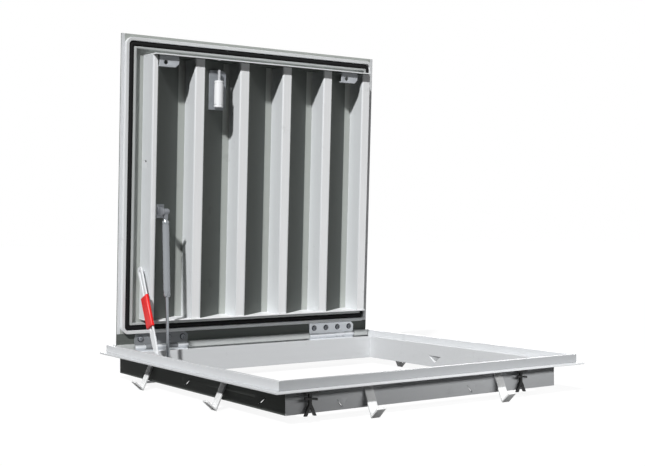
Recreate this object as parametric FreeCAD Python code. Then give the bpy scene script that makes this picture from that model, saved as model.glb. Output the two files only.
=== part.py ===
"""Hinged hatch cover: a ribbed lid standing open on its rectangular coaming frame.

Frame of the model, in millimetres: X runs along the hinge line, +Y towards the hinge side,
+Z up. The origin is the bottom centre of the whole part, under the anchor straps.
The lid is drawn where it lies when shut and then turned about the hinge to its open stop.
A point of the lid is given by x, by s, its distance in front of the hinge axis when shut,
and by w, its depth below the top of the lid skin.
"""
import FreeCAD, Part
import math
import os

V = FreeCAD.Vector

# Clear opening and coaming frame
CLEAR_WIDTH = 914.0        # between the side coamings, along X
CLEAR_LENGTH = 900.0       # between the front and back coamings, along Y
WALL = 5.0                 # coaming plate
COAMING_DROP = 13.0        # shut rib crests down to the foot of the coaming
KNIFE_DEPTH = 18.0         # top of the upstand down to the sealing edge of the coaming
UPSTAND_HEIGHT = 24.0
UPSTAND_BAR = 12.0
FLANGE_THICK = 5.0
FLANGE_LIP = 16.0          # flange beyond the upstand
LID_GAP = 5.0              # lid edge to upstand, sides and free edge
GUTTER = 34.0              # hinge axis back to the upstand

# Lid skin, edge lip, seal and retainer
SKIN = 5.0
OVERHANG = 11.0            # skin beyond the lip at the sides and the free edge
BACK_MARGIN = 8.0          # skin behind the hinge axis
LIP_WIDTH = 11.0
LIP_DEPTH = 20.0           # top of the skin down to the face of the lip
LIP_CORNER = 24.0
GASKET_WIDTH = 17.5
GASKET_GAP = 0.3           # seal to knife edge with the lid shut
RETAINER_WIDTH = 7.0
RAIL = 46.0                # hinge axis to the lip at the hinge side
EDGE_BAR_S = 12.0          # hinge axis to the front of the bars along the hinge-side edge
EDGE_BAR = 13.0

# Folded ribs between two header plates
RIB_SHEET = 3.0
RIB_DEPTH = 80.0           # top of the skin down to the rib crest
RIB_COUNT = 6
RIB_LEFT_GAP = 43.0        # left coaming to the first rib
RIB_RIGHT_GAP = 29.0       # last rib to the right coaming
FIRST_CREST = 17.0
CREST = 34.0
RIB_FOOT = 24.0            # foot of each rib on the skin
HEADER = 4.0
FREE_HEADER_DROP = 20.0    # header beyond the rib crests
HINGE_HEADER_DROP = 4.0
HEADER_CLEAR = 17.0        # retainer to the free-edge header
HINGE_HEADER_CLEAR = 9.5   # retainer to the hinge-side header

# Hinges
OPEN_ANGLE = 87.0
AXIS_DEPTH = 10.0          # top of the skin down to the hinge axis
BARREL_R = 7.0
PIN_R = 4.0
PIN_CLEAR = 0.08
HINGE_SIDE = 122.0         # side coaming to the middle of a hinge
HINGE_LENGTH = 190.0
HINGE_NOTCH = 2.0          # room in the skin at both ends of a hinge
KNUCKLES = 5
KNUCKLE_GAP = 0.6
LEAF = 5.0
LEAF_REACH = 44.0          # hinge axis to the far edge of the lid leaf
LEAF_START = 8.5
FRAME_LEAF_REACH = 30.0
LEAF_CHAMFER = 10.0
SCREW_PITCH = 50.0
SCREW_ROW = 27.5           # lid screws in front of the axis
FRAME_SCREW_ROW = 19.0
SCREW_HEAD_R = 10.0
SCREW_HEAD = 5.0
FRAME_HEAD_R = 7.0
FRAME_HEAD = 3.0

# Gas strut, in a plane of constant X
EAR_SIDE = 69.0            # left coaming to the left face of both strut ears
EAR = 4.0
STRUT_GAP = 0.3            # head eye to its ear, where the linkage is open
EYE_WIDE = 16.0
EYE_R = 10.0
STRUT_HEAD_S = 442.0
STRUT_HEAD_DROP = 26.0     # head eye beyond the rib crests
STRUT_FOOT_S = 135.0
STRUT_FOOT_DROP = 12.0     # foot eye below the shut rib crests
STRUT_PIN_R = 4.0
CYLINDER_R = 11.0
CYLINDER_LENGTH = 246.0
CYLINDER_BORE_R = 8.0
HEAD_NECK = 24.0           # head eye centre to the cylinder
GLAND = 8.0
ROD_R = 5.0
ROD_INSIDE = 22.0          # rod left in the cylinder when the strut is long
PISTON = 10.0
FOOT_NECK = 22.0           # foot eye centre to the rod
NECK = 12.0                # square neck between an eye and the rod or cylinder
SEAT_HALF = 22.0           # half length of the head bracket's seat

# Hold-open arm with its slot and grip
ARM_SIDE = 27.0            # left coaming to the left face of the arm
ARM = 5.0
ARM_WIDTH = 30.0
ARM_PIVOT_S = 162.0
ARM_PIVOT_W = 20.0
ARM_PIVOT_R = 10.0
ARM_PIN_R = 4.0
ARM_TAPER = 46.0
STUD_S = 246.0
STUD_R = 5.0
STUD_GAP = 0.3
SLOT_CLEAR = 0.5
ARM_TIP = 18.0
GRIP_START = 92.0
GRIP_LENGTH = 106.0
GRIP_WALL = 6.0
GRIP_R = 5.0

# Draw bolt under the free edge
LOCK_RIB = 2               # the bolt lies over this rib's flank
LOCK_RUN = 50.0            # rib crest to the bolt's centre line
LOCK_PLATE_RUN = (22.0, 84.0)
LOCK_PLATE = 4.0
LOCK_PLATE_DROP = 16.0     # rib crest back to the plate's seat side
LOCK_CHAMFER = 10.0
LOCK_PLATE_BACK = (160.0, 31.0)   # free-edge header back to both ends of the plate
BARREL_BACK = (153.0, 66.0)
LOCK_BARREL_R = 15.0
BOLT_R = 4.5
BOLT_CLEAR = 0.08
BOLT_PASS = 0.5            # bolt through the header and the coaming
BOLT_TAIL = 12.0           # barrel end to bolt end, drawn back
BOLT_TIP_BACK = 31.0
LOCK_KEEPER_OUT = 22.0     # front coaming in to the keeper's face
LOCK_KEEPER_WIDE = 34.0
PLUG_R = 15.0
PLUG_BACK = 89.0

# Keeper plates under the free-edge header
KEEPER_WIDTH = 68.0
KEEPER_HEIGHT = 36.0
KEEPER = 4.0
KEEPER_DROP = 4.0          # rib crests to the keeper's seat side
KEEPER_SEAT = 26.0
KEEPER_LIP = 12.0
KEEPER_SIDES = (61.0, 159.0)      # left and right coaming to the keepers' left edges
KEEPER_HOLE_R = 7.0
KEEPER_HOLE_X = 22.0
KEEPER_HOLE_DROP = 22.0

# Anchor straps and pressed keys of the coaming
ANCHOR_WIDE = 28.0
ANCHOR = 5.0
ANCHOR_TOP = 38.0          # depth of the strap's upper end
ANCHOR_BEND = 48.0
ANCHOR_FOOT = 118.0
ANCHOR_OUT = 32.0
ANCHOR_HOOK_OUT = 60.0
ANCHOR_HOOK = 92.0
ANCHOR_SIDES = (246.0, 218.0)     # left and right coaming to the front straps
ANCHOR_ENDS = (133.0, 305.0)      # back and front coaming to the side straps
FRONT_KEY_TOP = 64.0
SIDE_KEY_TOP = 57.0
KEY_DROP = 21.0
KEY_OUT = 7.0
KEY_SHEET = 2.5
FRONT_KEY_SIDES = (164.0, 316.0)
FRONT_KEY_WIDE = 32.0
SIDE_KEY_ENDS = (369.0, 116.0)
SIDE_KEY_WIDE = 62.0
APRON = 43.0               # hinge axis back to the outer face of the apron

# Hold-down clamps outside the front coaming, in line with the keeper plates
CLAMP_SIDES = (61.0, 139.0)       # left and right coaming to the clamps
CLAMP_BLOCK = (38.0, 20.0, 12.0)
CLAMP_SPINE_R = 4.0
CLAMP_FORK = 68.0          # depth at which the spine forks
CLAMP_FOOT = 98.0
CLAMP_SPLAY = 14.0
CLAMP_NUT = 54.0           # depth of the wing nut
CLAMP_WING = 19.0

# Heights and outlines that follow from the sizes above
TOP = ANCHOR_FOOT
SHELF = TOP - UPSTAND_HEIGHT
SHELF_UNDER = SHELF - FLANGE_THICK
SHELF_DEPTH = UPSTAND_HEIGHT + FLANGE_THICK
COAMING_DEPTH = RIB_DEPTH + COAMING_DROP
COAMING_FOOT = TOP - COAMING_DEPTH
KNIFE = TOP - KNIFE_DEPTH
LIP_HALF = CLEAR_WIDTH / 2 + WALL / 2 + GASKET_WIDTH / 2 + LIP_WIDTH
SKIN_HALF = LIP_HALF + OVERHANG
BACK_WALL_S = RAIL + LIP_WIDTH + GASKET_WIDTH / 2 - WALL / 2
FRONT_WALL_S = BACK_WALL_S + WALL + CLEAR_LENGTH
LIP_FREE_S = FRONT_WALL_S + WALL / 2 + GASKET_WIDTH / 2 + LIP_WIDTH
SKIN_S = LIP_FREE_S + OVERHANG
BAR_IN_X = SKIN_HALF + LID_GAP
BAR_OUT_X = BAR_IN_X + UPSTAND_BAR
EDGE_X = BAR_OUT_X + FLANGE_LIP
BAR_IN_S = SKIN_S + LID_GAP
BAR_OUT_S = BAR_IN_S + UPSTAND_BAR
EDGE_S = BAR_OUT_S + FLANGE_LIP
BACK_EDGE = GUTTER + UPSTAND_BAR + FLANGE_LIP
AXIS_Y = (EDGE_S + BACK_EDGE) / 2 - BACK_EDGE
AXIS_Z = TOP - AXIS_DEPTH
AXIS = V(0, AXIS_Y, AXIS_Z)
SEAL_IN = LIP_WIDTH + GASKET_WIDTH
HALF_CLEAR = CLEAR_WIDTH / 2
RIB_FIRST = RIB_LEFT_GAP - HALF_CLEAR
RIB_PITCH = (CLEAR_WIDTH - RIB_LEFT_GAP - RIB_RIGHT_GAP - FIRST_CREST) / (RIB_COUNT - 1)
FLANK_RUN = RIB_PITCH - CREST - RIB_FOOT
HINGE_X = HALF_CLEAR - HINGE_SIDE
EAR_X = EAR_SIDE - HALF_CLEAR
ARM_X = ARM_SIDE - HALF_CLEAR
FREE_HEADER_DEPTH = RIB_DEPTH + FREE_HEADER_DROP
HINGE_HEADER_DEPTH = RIB_DEPTH + HINGE_HEADER_DROP
STRUT_HEAD_W = RIB_DEPTH + STRUT_HEAD_DROP
STRUT_FOOT_W = RIB_DEPTH + STRUT_FOOT_DROP
STUD_W = RIB_DEPTH / 2
KEEPER_W = RIB_DEPTH + KEEPER_DROP
LOCK_PLATE_W = RIB_DEPTH - LOCK_PLATE_DROP
FREE_HEADER_S = LIP_FREE_S - SEAL_IN - RETAINER_WIDTH - HEADER_CLEAR - HEADER
HINGE_HEADER_S = RAIL + SEAL_IN + RETAINER_WIDTH + HINGE_HEADER_CLEAR
RIB_S = (HINGE_HEADER_S + HEADER, FREE_HEADER_S)
LAST_CREST_END = HALF_CLEAR - RIB_RIGHT_GAP
LOCK_CREST = RIB_FIRST + FIRST_CREST + RIB_PITCH * (LOCK_RIB - 1)
LOCK_X = LOCK_CREST + LOCK_RUN
LOCK_PLATE_X = tuple(LOCK_CREST + run for run in LOCK_PLATE_RUN)
LOCK_PLATE_S = tuple(FREE_HEADER_S - back for back in LOCK_PLATE_BACK)
BARREL_S = tuple(FREE_HEADER_S - back for back in BARREL_BACK)
BOLT_TIP_S = FREE_HEADER_S - BOLT_TIP_BACK
PLUG_S = FREE_HEADER_S - PLUG_BACK
KEEPER_X = (KEEPER_SIDES[0] - HALF_CLEAR, HALF_CLEAR - KEEPER_SIDES[1])
CLAMP_X = (CLAMP_SIDES[0] - HALF_CLEAR, HALF_CLEAR - CLAMP_SIDES[1])
ANCHOR_X = (ANCHOR_SIDES[0] - HALF_CLEAR, HALF_CLEAR - ANCHOR_SIDES[1])
ANCHOR_S = (BACK_WALL_S + ANCHOR_ENDS[0], FRONT_WALL_S - ANCHOR_ENDS[1])
FRONT_KEY_X = (FRONT_KEY_SIDES[0] - HALF_CLEAR, HALF_CLEAR - FRONT_KEY_SIDES[1])
SIDE_KEY_S = (BACK_WALL_S + SIDE_KEY_ENDS[0], FRONT_WALL_S - SIDE_KEY_ENDS[1])
SIDES = ("left", "right", "front", "back")


def save(name, *shapes):
    """Write one node, a single solid or a group of like solids."""
    shape = shapes[0] if len(shapes) == 1 else Part.makeCompound(list(shapes))
    shape.exportStep("parts/" + name + ".step")


def y_of(s):
    """Y of a point s in front of the hinge axis."""
    return AXIS_Y - s


def z_of(w):
    """Z of a point at depth w below the top of the upstand and the shut lid."""
    return TOP - w


def block(x0, x1, s0, s1, w0, w1):
    """Plain block between two corners given in x, s and w."""
    return Part.makeBox(x1 - x0, s1 - s0, w1 - w0, V(x0, y_of(s1), z_of(w1)))


def prism(points, direction):
    """Solid of a closed outline pushed along a vector."""
    return Part.Face(Part.makePolygon(points + points[:1])).extrude(direction)


def rod(start, end, radius):
    """Round bar from one point to another."""
    along = end - start
    return Part.makeCylinder(radius, along.Length, start, along)


def square_bar(start, end, side):
    """Square bar from one point to another in a plane of constant X."""
    along = V(end - start).normalize()
    rise = V(1, 0, 0).cross(along) * (side / 2)
    half = V(side / 2, 0, 0)
    return prism([start + half + rise, start - half + rise, start - half - rise, start + half - rise],
                 end - start)


def across(x0, x1, s, w, radius):
    """Round bar along X at one place of the side view."""
    return rod(V(x0, y_of(s), z_of(w)), V(x1, y_of(s), z_of(w)), radius)


def lengthwise(x, s0, s1, w, radius):
    """Round bar from front of the hinge axis to further in front, at one x and depth."""
    return rod(V(x, y_of(s0), z_of(w)), V(x, y_of(s1), z_of(w)), radius)


def opened(shape):
    """Turn a shape from the shut lid to the open stop."""
    return shape.copy().rotate(AXIS, V(1, 0, 0), -OPEN_ANGLE)


def open_point(s, w):
    """Side-view place, as s and w, of a lid point when the lid stands open."""
    turn = math.radians(OPEN_ANGLE)
    ahead, up = s, AXIS_DEPTH - w
    return (ahead * math.cos(turn) - up * math.sin(turn),
            AXIS_DEPTH - ahead * math.sin(turn) - up * math.cos(turn))


def ring_side(side, inner, outer, z0, z1):
    """One mitred member of a ring; inner and outer are (half width, front s, back s)."""
    def corners(size):
        half, front, back = size
        return {"fl": V(-half, y_of(front), z0), "fr": V(half, y_of(front), z0),
                "bl": V(-half, y_of(back), z0), "br": V(half, y_of(back), z0)}
    ends = {"left": ("fl", "bl"), "right": ("br", "fr"), "front": ("fr", "fl"), "back": ("bl", "br")}
    a, b = ends[side]
    out, inn = corners(outer), corners(inner)
    return prism([out[a], out[b], inn[b], inn[a]], V(0, 0, z1 - z0))


def rounded_plate(half, front, back, radius, w0, w1):
    """Rectangle with rounded corners, as thick as w0 to w1."""
    plate = block(-half, half, back, front, w0, w1)
    if radius <= 0:
        return plate
    upright = [e for e in plate.Edges if abs(e.Vertexes[0].Z - e.Vertexes[-1].Z) > (w1 - w0) / 2]
    return plate.makeFillet(radius, upright)


def rounded_ring(inset, width, radius, w0, w1):
    """Ring that lies inset from the lip's outer edge, with rounded corners."""
    def plate(step, corner):
        return rounded_plate(LIP_HALF - step, LIP_FREE_S - step, RAIL + step, corner, w0, w1)
    inner = max(radius - width, 0)
    return plate(inset, radius).cut(plate(inset + width, inner))


def folded(points, sheet):
    """Section of a folded sheet: the outline of its outer face and that line one sheet inside."""
    def shift(a, b):
        dx, dw = b[0] - a[0], b[1] - a[1]
        size = math.hypot(dx, dw)
        return (dw / size * sheet, -dx / size * sheet)
    steps = [shift(a, b) for a, b in zip(points, points[1:])]
    inside = [(points[0][0] + steps[0][0], points[0][1] + steps[0][1])]
    for here, before, after in zip(points[1:-1], steps, steps[1:]):
        spread = 1 + (before[0] * after[0] + before[1] * after[1]) / sheet ** 2
        inside.append((here[0] + (before[0] + after[0]) / spread,
                       here[1] + (before[1] + after[1]) / spread))
    inside.append((points[-1][0] + steps[-1][0], points[-1][1] + steps[-1][1]))
    return points + inside[::-1]


def frame_members():
    """Flange, upstand bar and coaming plate of each side, mitred at the corners."""
    coaming_in = (CLEAR_WIDTH / 2, FRONT_WALL_S, BACK_WALL_S + WALL)
    coaming_out = (CLEAR_WIDTH / 2 + WALL, FRONT_WALL_S + WALL, BACK_WALL_S)
    bar_in = (BAR_IN_X, BAR_IN_S, -GUTTER)
    bar_out = (BAR_OUT_X, BAR_OUT_S, -GUTTER - UPSTAND_BAR)
    edge = (EDGE_X, EDGE_S, -BACK_EDGE)
    for side in SIDES:
        flange = ring_side(side, coaming_out, edge, SHELF_UNDER, SHELF)
        upstand = ring_side(side, bar_in, bar_out, SHELF, TOP)
        coaming = ring_side(side, coaming_in, coaming_out, COAMING_FOOT, KNIFE)
        if side in ("left", "right"):
            half = CLEAR_WIDTH / 2
            x0 = -half - WALL if side == "left" else half
            run_on = block(x0, x0 + WALL, -APRON, BACK_WALL_S, SHELF_DEPTH, COAMING_DEPTH)
            coaming = coaming.fuse(run_on)
        for place in key_places(side):
            coaming = coaming.cut(key_window(side, place)).fuse(pressed_key(side, place))
        save("flange_" + side, flange)
        save("upstand_" + side, upstand)
        save("coaming_" + side, coaming.removeSplitter())
        if side != "back":
            save("anchors_" + side, *[anchor(side, place) for place in anchor_places(side)])
    half = CLEAR_WIDTH / 2
    save("apron_back", block(-half, half, -APRON, WALL - APRON, SHELF_DEPTH, COAMING_DEPTH))


def outward(side, along, out, w):
    """Point beside a coaming: along it, out from its outer face, at depth w."""
    if side in ("front", "back"):
        reach = FRONT_WALL_S + WALL + out if side == "front" else BACK_WALL_S - out
        return V(along, y_of(reach), z_of(w))
    reach = CLEAR_WIDTH / 2 + WALL + out
    return V(-reach if side == "left" else reach, y_of(along), z_of(w))


def run_of(side):
    """Unit vector along a coaming, towards a growing place on it."""
    return V(1, 0, 0) if side in ("front", "back") else V(0, -1, 0)


def anchor_places(side):
    """Middles of the two straps on one side."""
    return ANCHOR_X if side in ("front", "back") else ANCHOR_S


def key_places(side):
    """Middles of the pressed keys on one side; the hinge side has none."""
    return {"front": FRONT_KEY_X, "back": ()}.get(side, SIDE_KEY_S)


def key_width(side):
    """Width of the keys on one side."""
    return FRONT_KEY_WIDE if side == "front" else SIDE_KEY_WIDE


def anchor(side, place):
    """Strap bent out and down from the coaming, then hooked up."""
    start = place - ANCHOR_WIDE / 2
    line = [(0, ANCHOR_TOP), (0, ANCHOR_BEND), (ANCHOR_OUT, ANCHOR_FOOT), (ANCHOR_HOOK_OUT, ANCHOR_HOOK)]
    outline = folded(line, ANCHOR)
    points = [outward(side, start, out, w) for out, w in outline]
    return prism(points, run_of(side) * ANCHOR_WIDE)


def key_outline(side, place, out_top, out_tip):
    """Triangle of a pressed key, with its point down and leaning out."""
    half = key_width(side) / 2
    top = FRONT_KEY_TOP if side == "front" else SIDE_KEY_TOP
    return [outward(side, place - half, out_top, top), outward(side, place + half, out_top, top),
            outward(side, place, out_tip, top + KEY_DROP)]


def key_window(side, place):
    """Window that a pressed key leaves in the coaming."""
    push = outward(side, 0, -WALL - 1, 0) - outward(side, 0, 1, 0)
    return prism(key_outline(side, place, 1, 1), push)


def pressed_key(side, place):
    """Tongue of sheet hinged at its top edge and pushed out at its point."""
    push = outward(side, 0, -KEY_SHEET, 0) - outward(side, 0, 0, 0)
    return prism(key_outline(side, place, 0, KEY_OUT), push)


def lid_skin():
    """Top plate, notched over the two hinge barrels, with the plug hole."""
    skin = block(-SKIN_HALF, SKIN_HALF, -BACK_MARGIN, SKIN_S, 0, SKIN)
    half = HINGE_LENGTH / 2 + HINGE_NOTCH
    for centre in (-HINGE_X, HINGE_X):
        skin = skin.cut(block(centre - half, centre + half, -BACK_MARGIN - 1, LEAF_START, -1, SKIN + 1))
    plug = rod(V(LOCK_X, y_of(PLUG_S), z_of(SKIN)), V(LOCK_X, y_of(PLUG_S), TOP), PLUG_R)
    skin = skin.cut(plug)
    socket = hexagon(LOCK_X, PLUG_S, TOP - SKIN / 2, PLUG_R / 2, SKIN)
    save("lid_skin", opened(skin))
    save("key_plug", opened(plug.cut(socket)))
    ends = (-SKIN_HALF, -HINGE_X - half, -HINGE_X + half, HINGE_X - half, HINGE_X + half, SKIN_HALF)
    save("edge_bars", *[opened(block(x0, x1, -BACK_MARGIN, EDGE_BAR_S, SKIN, SKIN + EDGE_BAR))
                        for x0, x1 in zip(ends[::2], ends[1::2])])


def hexagon(x, s, z, radius, height):
    """Upright six-sided prism, for sockets and bolt heads."""
    turns = [math.radians(60 * i) for i in range(6)]
    points = [V(x + radius * math.cos(turn), y_of(s) + radius * math.sin(turn), z) for turn in turns]
    return prism(points, V(0, 0, height))


def lid_edge():
    """Lip, seal and retainer round the underside."""
    save("edge_lip", opened(rounded_ring(0, LIP_WIDTH, LIP_CORNER, SKIN, LIP_DEPTH)))
    seal_radius = LIP_CORNER - LIP_WIDTH
    save("gasket", opened(rounded_ring(LIP_WIDTH, GASKET_WIDTH, seal_radius, SKIN,
                                       KNIFE_DEPTH - GASKET_GAP)))
    save("gasket_retainer", opened(rounded_ring(SEAL_IN, RETAINER_WIDTH, 0, SKIN, LIP_DEPTH)))


def rib_walls(index):
    """Left wall and crest end of one rib."""
    crest_end = RIB_FIRST + FIRST_CREST + RIB_PITCH * index
    return crest_end - (CREST if index else FIRST_CREST), crest_end


def ribs():
    """Folded ribs: a steep wall, a crest, a sloping flank and a foot on the skin."""
    for index in range(RIB_COUNT):
        wall, crest_end = rib_walls(index)
        line = [(wall, SKIN), (wall, RIB_DEPTH), (crest_end, RIB_DEPTH)]
        if index < RIB_COUNT - 1:
            line += [(crest_end + FLANK_RUN, SKIN + RIB_SHEET), (rib_walls(index + 1)[0], SKIN + RIB_SHEET)]
        else:
            line += [(crest_end, SKIN)]
        outline = folded([(x, -w) for x, w in line], -RIB_SHEET)
        points = [V(x, y_of(RIB_S[0]), TOP + up) for x, up in outline]
        shape = prism(points, V(0, -(RIB_S[1] - RIB_S[0]), 0))
        save("rib_%d" % (index + 1), opened(shape))


def headers():
    """Plates that close the ribs at both ends."""
    free = block(RIB_FIRST, LAST_CREST_END, FREE_HEADER_S, FREE_HEADER_S + HEADER, SKIN, FREE_HEADER_DEPTH)
    passage = lengthwise(LOCK_X, FREE_HEADER_S - 1, FREE_HEADER_S + HEADER + 1, lock_depth(), BOLT_R + BOLT_PASS)
    hinge = block(RIB_FIRST, LAST_CREST_END, HINGE_HEADER_S, HINGE_HEADER_S + HEADER, SKIN,
                  HINGE_HEADER_DEPTH)
    save("free_edge_header", opened(free.cut(passage)))
    save("hinge_side_header", opened(hinge))


def keepers():
    """Angled keeper plates hung under the free-edge header, each with its hole."""
    for name, x0 in zip(("left", "right"), KEEPER_X):
        x1 = x0 + KEEPER_WIDTH
        low = FREE_HEADER_S - KEEPER_HEIGHT
        under = KEEPER_W + KEEPER
        face = block(x0, x1, low, FREE_HEADER_S, KEEPER_W, under)
        seat = block(x0, x1, FREE_HEADER_S - KEEPER, FREE_HEADER_S, KEEPER_W - KEEPER_SEAT, under)
        lip = block(x0, x0 + KEEPER_WIDTH * 0.7, low, low + KEEPER, KEEPER_W - KEEPER_LIP, under)
        if name == "left":
            seat = seat.cut(flank_side(x0))
            lip = lip.cut(flank_side(x0))
        hole_s = FREE_HEADER_S - KEEPER_HOLE_DROP
        hole = rod(V(x0 + KEEPER_HOLE_X, y_of(hole_s), z_of(KEEPER_W - 1)),
                   V(x0 + KEEPER_HOLE_X, y_of(hole_s), z_of(KEEPER_W + KEEPER + 1)), KEEPER_HOLE_R)
        corner = prism([V(x1, y_of(low), z_of(KEEPER_W - 1)), V(x1 - 12, y_of(low), z_of(KEEPER_W - 1)),
                        V(x1, y_of(low + 12), z_of(KEEPER_W - 1))], V(0, 0, -KEEPER - 2))
        shape = face.fuse([seat, lip]).cut(hole).cut(corner)
        save("keeper_" + name, opened(shape.removeSplitter()))


def flank_side(crest_end):
    """Everything on the skin side of the flank that starts at one crest."""
    rise = RIB_DEPTH - SKIN - RIB_SHEET
    behind = crest_end - RIB_PITCH
    points = [V(behind, 0, z_of(RIB_DEPTH)), V(crest_end, 0, z_of(RIB_DEPTH)),
              V(crest_end + FLANK_RUN, 0, z_of(RIB_DEPTH - rise)), V(behind, 0, z_of(RIB_DEPTH - rise))]
    points = [V(p.x, y_of(0), p.z) for p in points]
    return prism(points, V(0, -SKIN_S, 0))


def lock_depth():
    """Depth of the draw bolt's centre line."""
    return LOCK_PLATE_W + LOCK_PLATE + LOCK_BARREL_R


def lock():
    """Draw bolt in its barrel, on a plate whose two legs stand on the rib flank."""
    x0, x1 = LOCK_PLATE_X
    s0, s1 = LOCK_PLATE_S
    w1 = LOCK_PLATE_W + LOCK_PLATE
    outline = [V(x0, y_of(s0), z_of(w1)), V(x1 - LOCK_CHAMFER, y_of(s0), z_of(w1)),
               V(x1, y_of(s0 + LOCK_CHAMFER), z_of(w1)), V(x1, y_of(s1 - LOCK_CHAMFER), z_of(w1)),
               V(x1 - LOCK_CHAMFER, y_of(s1), z_of(w1)), V(x0, y_of(s1), z_of(w1))]
    plate = prism(outline, V(0, 0, LOCK_PLATE))
    crest_end = LOCK_CREST
    slope = (RIB_DEPTH - SKIN - RIB_SHEET) / FLANK_RUN
    far = crest_end + FLANK_RUN
    for s in (s0 + LOCK_CHAMFER, s1 - LOCK_CHAMFER - LOCK_PLATE):
        reach = min(x1 - LOCK_PLATE, far)
        near = crest_end + (RIB_DEPTH - LOCK_PLATE_W) / slope
        leg = [V(near, y_of(s), z_of(LOCK_PLATE_W)), V(reach, y_of(s), z_of(LOCK_PLATE_W)),
               V(reach, y_of(s), z_of(RIB_DEPTH - slope * (reach - crest_end)))]
        plate = plate.fuse(prism(leg, V(0, -LOCK_PLATE, 0)))
    plate = plate.cut(flank_side(crest_end)).removeSplitter()
    w = lock_depth()
    tail_s = BARREL_S[0] + BOLT_TAIL
    barrel = lengthwise(LOCK_X, BARREL_S[0], BARREL_S[1], w, LOCK_BARREL_R)
    bore = lengthwise(LOCK_X, tail_s - 6, BARREL_S[1] + 1, w, BOLT_R + BOLT_CLEAR)
    bolt = lengthwise(LOCK_X, tail_s, BOLT_TIP_S, w, BOLT_R)
    hole = lengthwise(LOCK_X, FRONT_WALL_S - LOCK_KEEPER_OUT - 1, FRONT_WALL_S - 1, w, BOLT_R + BOLT_PASS)
    near, half = FRONT_WALL_S - LOCK_KEEPER_OUT, LOCK_KEEPER_WIDE / 2
    keeper = block(LOCK_X - half, LOCK_X + half, near, near + LOCK_PLATE, w - half, COAMING_DEPTH)
    for x in (LOCK_X - half, LOCK_X + half - LOCK_PLATE):
        keeper = keeper.fuse(block(x, x + LOCK_PLATE, near, FRONT_WALL_S, w - half, COAMING_DEPTH))
    save("lock_keeper", keeper.cut(hole).removeSplitter())
    save("lock_plate", opened(plate))
    save("lock_barrel", opened(barrel.cut(bore)))
    save("lock_bolt", opened(bolt))


def knuckle_spans(centre, owner):
    """X spans of the knuckles of one leaf; the frame leaf has the outer ones."""
    size = HINGE_LENGTH / KNUCKLES
    first = 0 if owner == "frame" else 1
    left = centre - HINGE_LENGTH / 2
    return [(left + size * i + KNUCKLE_GAP / 2, left + size * (i + 1) - KNUCKLE_GAP / 2)
            for i in range(first, KNUCKLES, 2)]


def screw_x():
    """Places of the four screws of each leaf, for both hinges."""
    return [centre + SCREW_PITCH * (i - 1.5) for centre in (-HINGE_X, HINGE_X) for i in range(4)]


def hinges():
    """Two butt hinges with their pins, tapered lid screws and six-sided frame bolts."""
    axis_w = AXIS_DEPTH
    for name, centre in (("left", -HINGE_X), ("right", HINGE_X)):
        x0, x1 = centre - HINGE_LENGTH / 2, centre + HINGE_LENGTH / 2
        bore = across(x0 - 1, x1 + 1, 0, axis_w, PIN_R + PIN_CLEAR)
        leaf = block(x0, x1, LEAF_START, LEAF_REACH, SKIN, SKIN + LEAF)
        corner = prism([V(x1, y_of(LEAF_REACH), z_of(SKIN + LEAF)),
                        V(x1 - LEAF_CHAMFER, y_of(LEAF_REACH), z_of(SKIN + LEAF)),
                        V(x1, y_of(LEAF_REACH - LEAF_CHAMFER), z_of(SKIN + LEAF))], V(0, 0, LEAF))
        leaf = leaf.cut(corner)
        for a, b in knuckle_spans(centre, "lid"):
            web = block(a, b, 0, LEAF_START, SKIN, SKIN + LEAF)
            leaf = leaf.fuse([across(a, b, 0, axis_w, BARREL_R), web])
        leaf = leaf.cut(bore).removeSplitter()
        save("hinge_lid_leaf_" + name, opened(leaf))
        frame_leaf = block(x0, x1, -FRAME_LEAF_REACH, -1, UPSTAND_HEIGHT - LEAF, UPSTAND_HEIGHT)
        for a, b in knuckle_spans(centre, "frame"):
            web = block(a, b, -BARREL_R, -1, axis_w, UPSTAND_HEIGHT)
            frame_leaf = frame_leaf.fuse([across(a, b, 0, axis_w, BARREL_R), web])
        for a, b in knuckle_spans(centre, "lid"):
            room = across(a - KNUCKLE_GAP / 2, b + KNUCKLE_GAP / 2, 0, axis_w, BARREL_R + 2)
            frame_leaf = frame_leaf.cut(room)
        frame_leaf = frame_leaf.cut(bore).removeSplitter()
        save("hinge_frame_leaf_" + name, frame_leaf)
        save("hinge_pin_" + name, across(x0, x1, 0, axis_w, PIN_R))
    heads = [Part.makeCone(SCREW_HEAD_R, 0.6 * SCREW_HEAD_R, SCREW_HEAD,
                           V(x, y_of(SCREW_ROW), z_of(SKIN + LEAF)), V(0, 0, -1)) for x in screw_x()]
    save("hinge_lid_screws", *[opened(head) for head in heads])
    save("hinge_frame_screws", *[hexagon(x, -FRAME_SCREW_ROW, SHELF + LEAF, FRAME_HEAD_R, FRAME_HEAD)
                                 for x in screw_x()])


def ear(x0, s, w, radius, seat_w):
    """Upright ear round a pin, carried down or up to its seat depth."""
    disc = across(x0, x0 + EAR, s, w, radius)
    stem = block(x0, x0 + EAR, s - radius, s + radius, min(w, seat_w), max(w, seat_w))
    return disc.fuse(stem)


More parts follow.
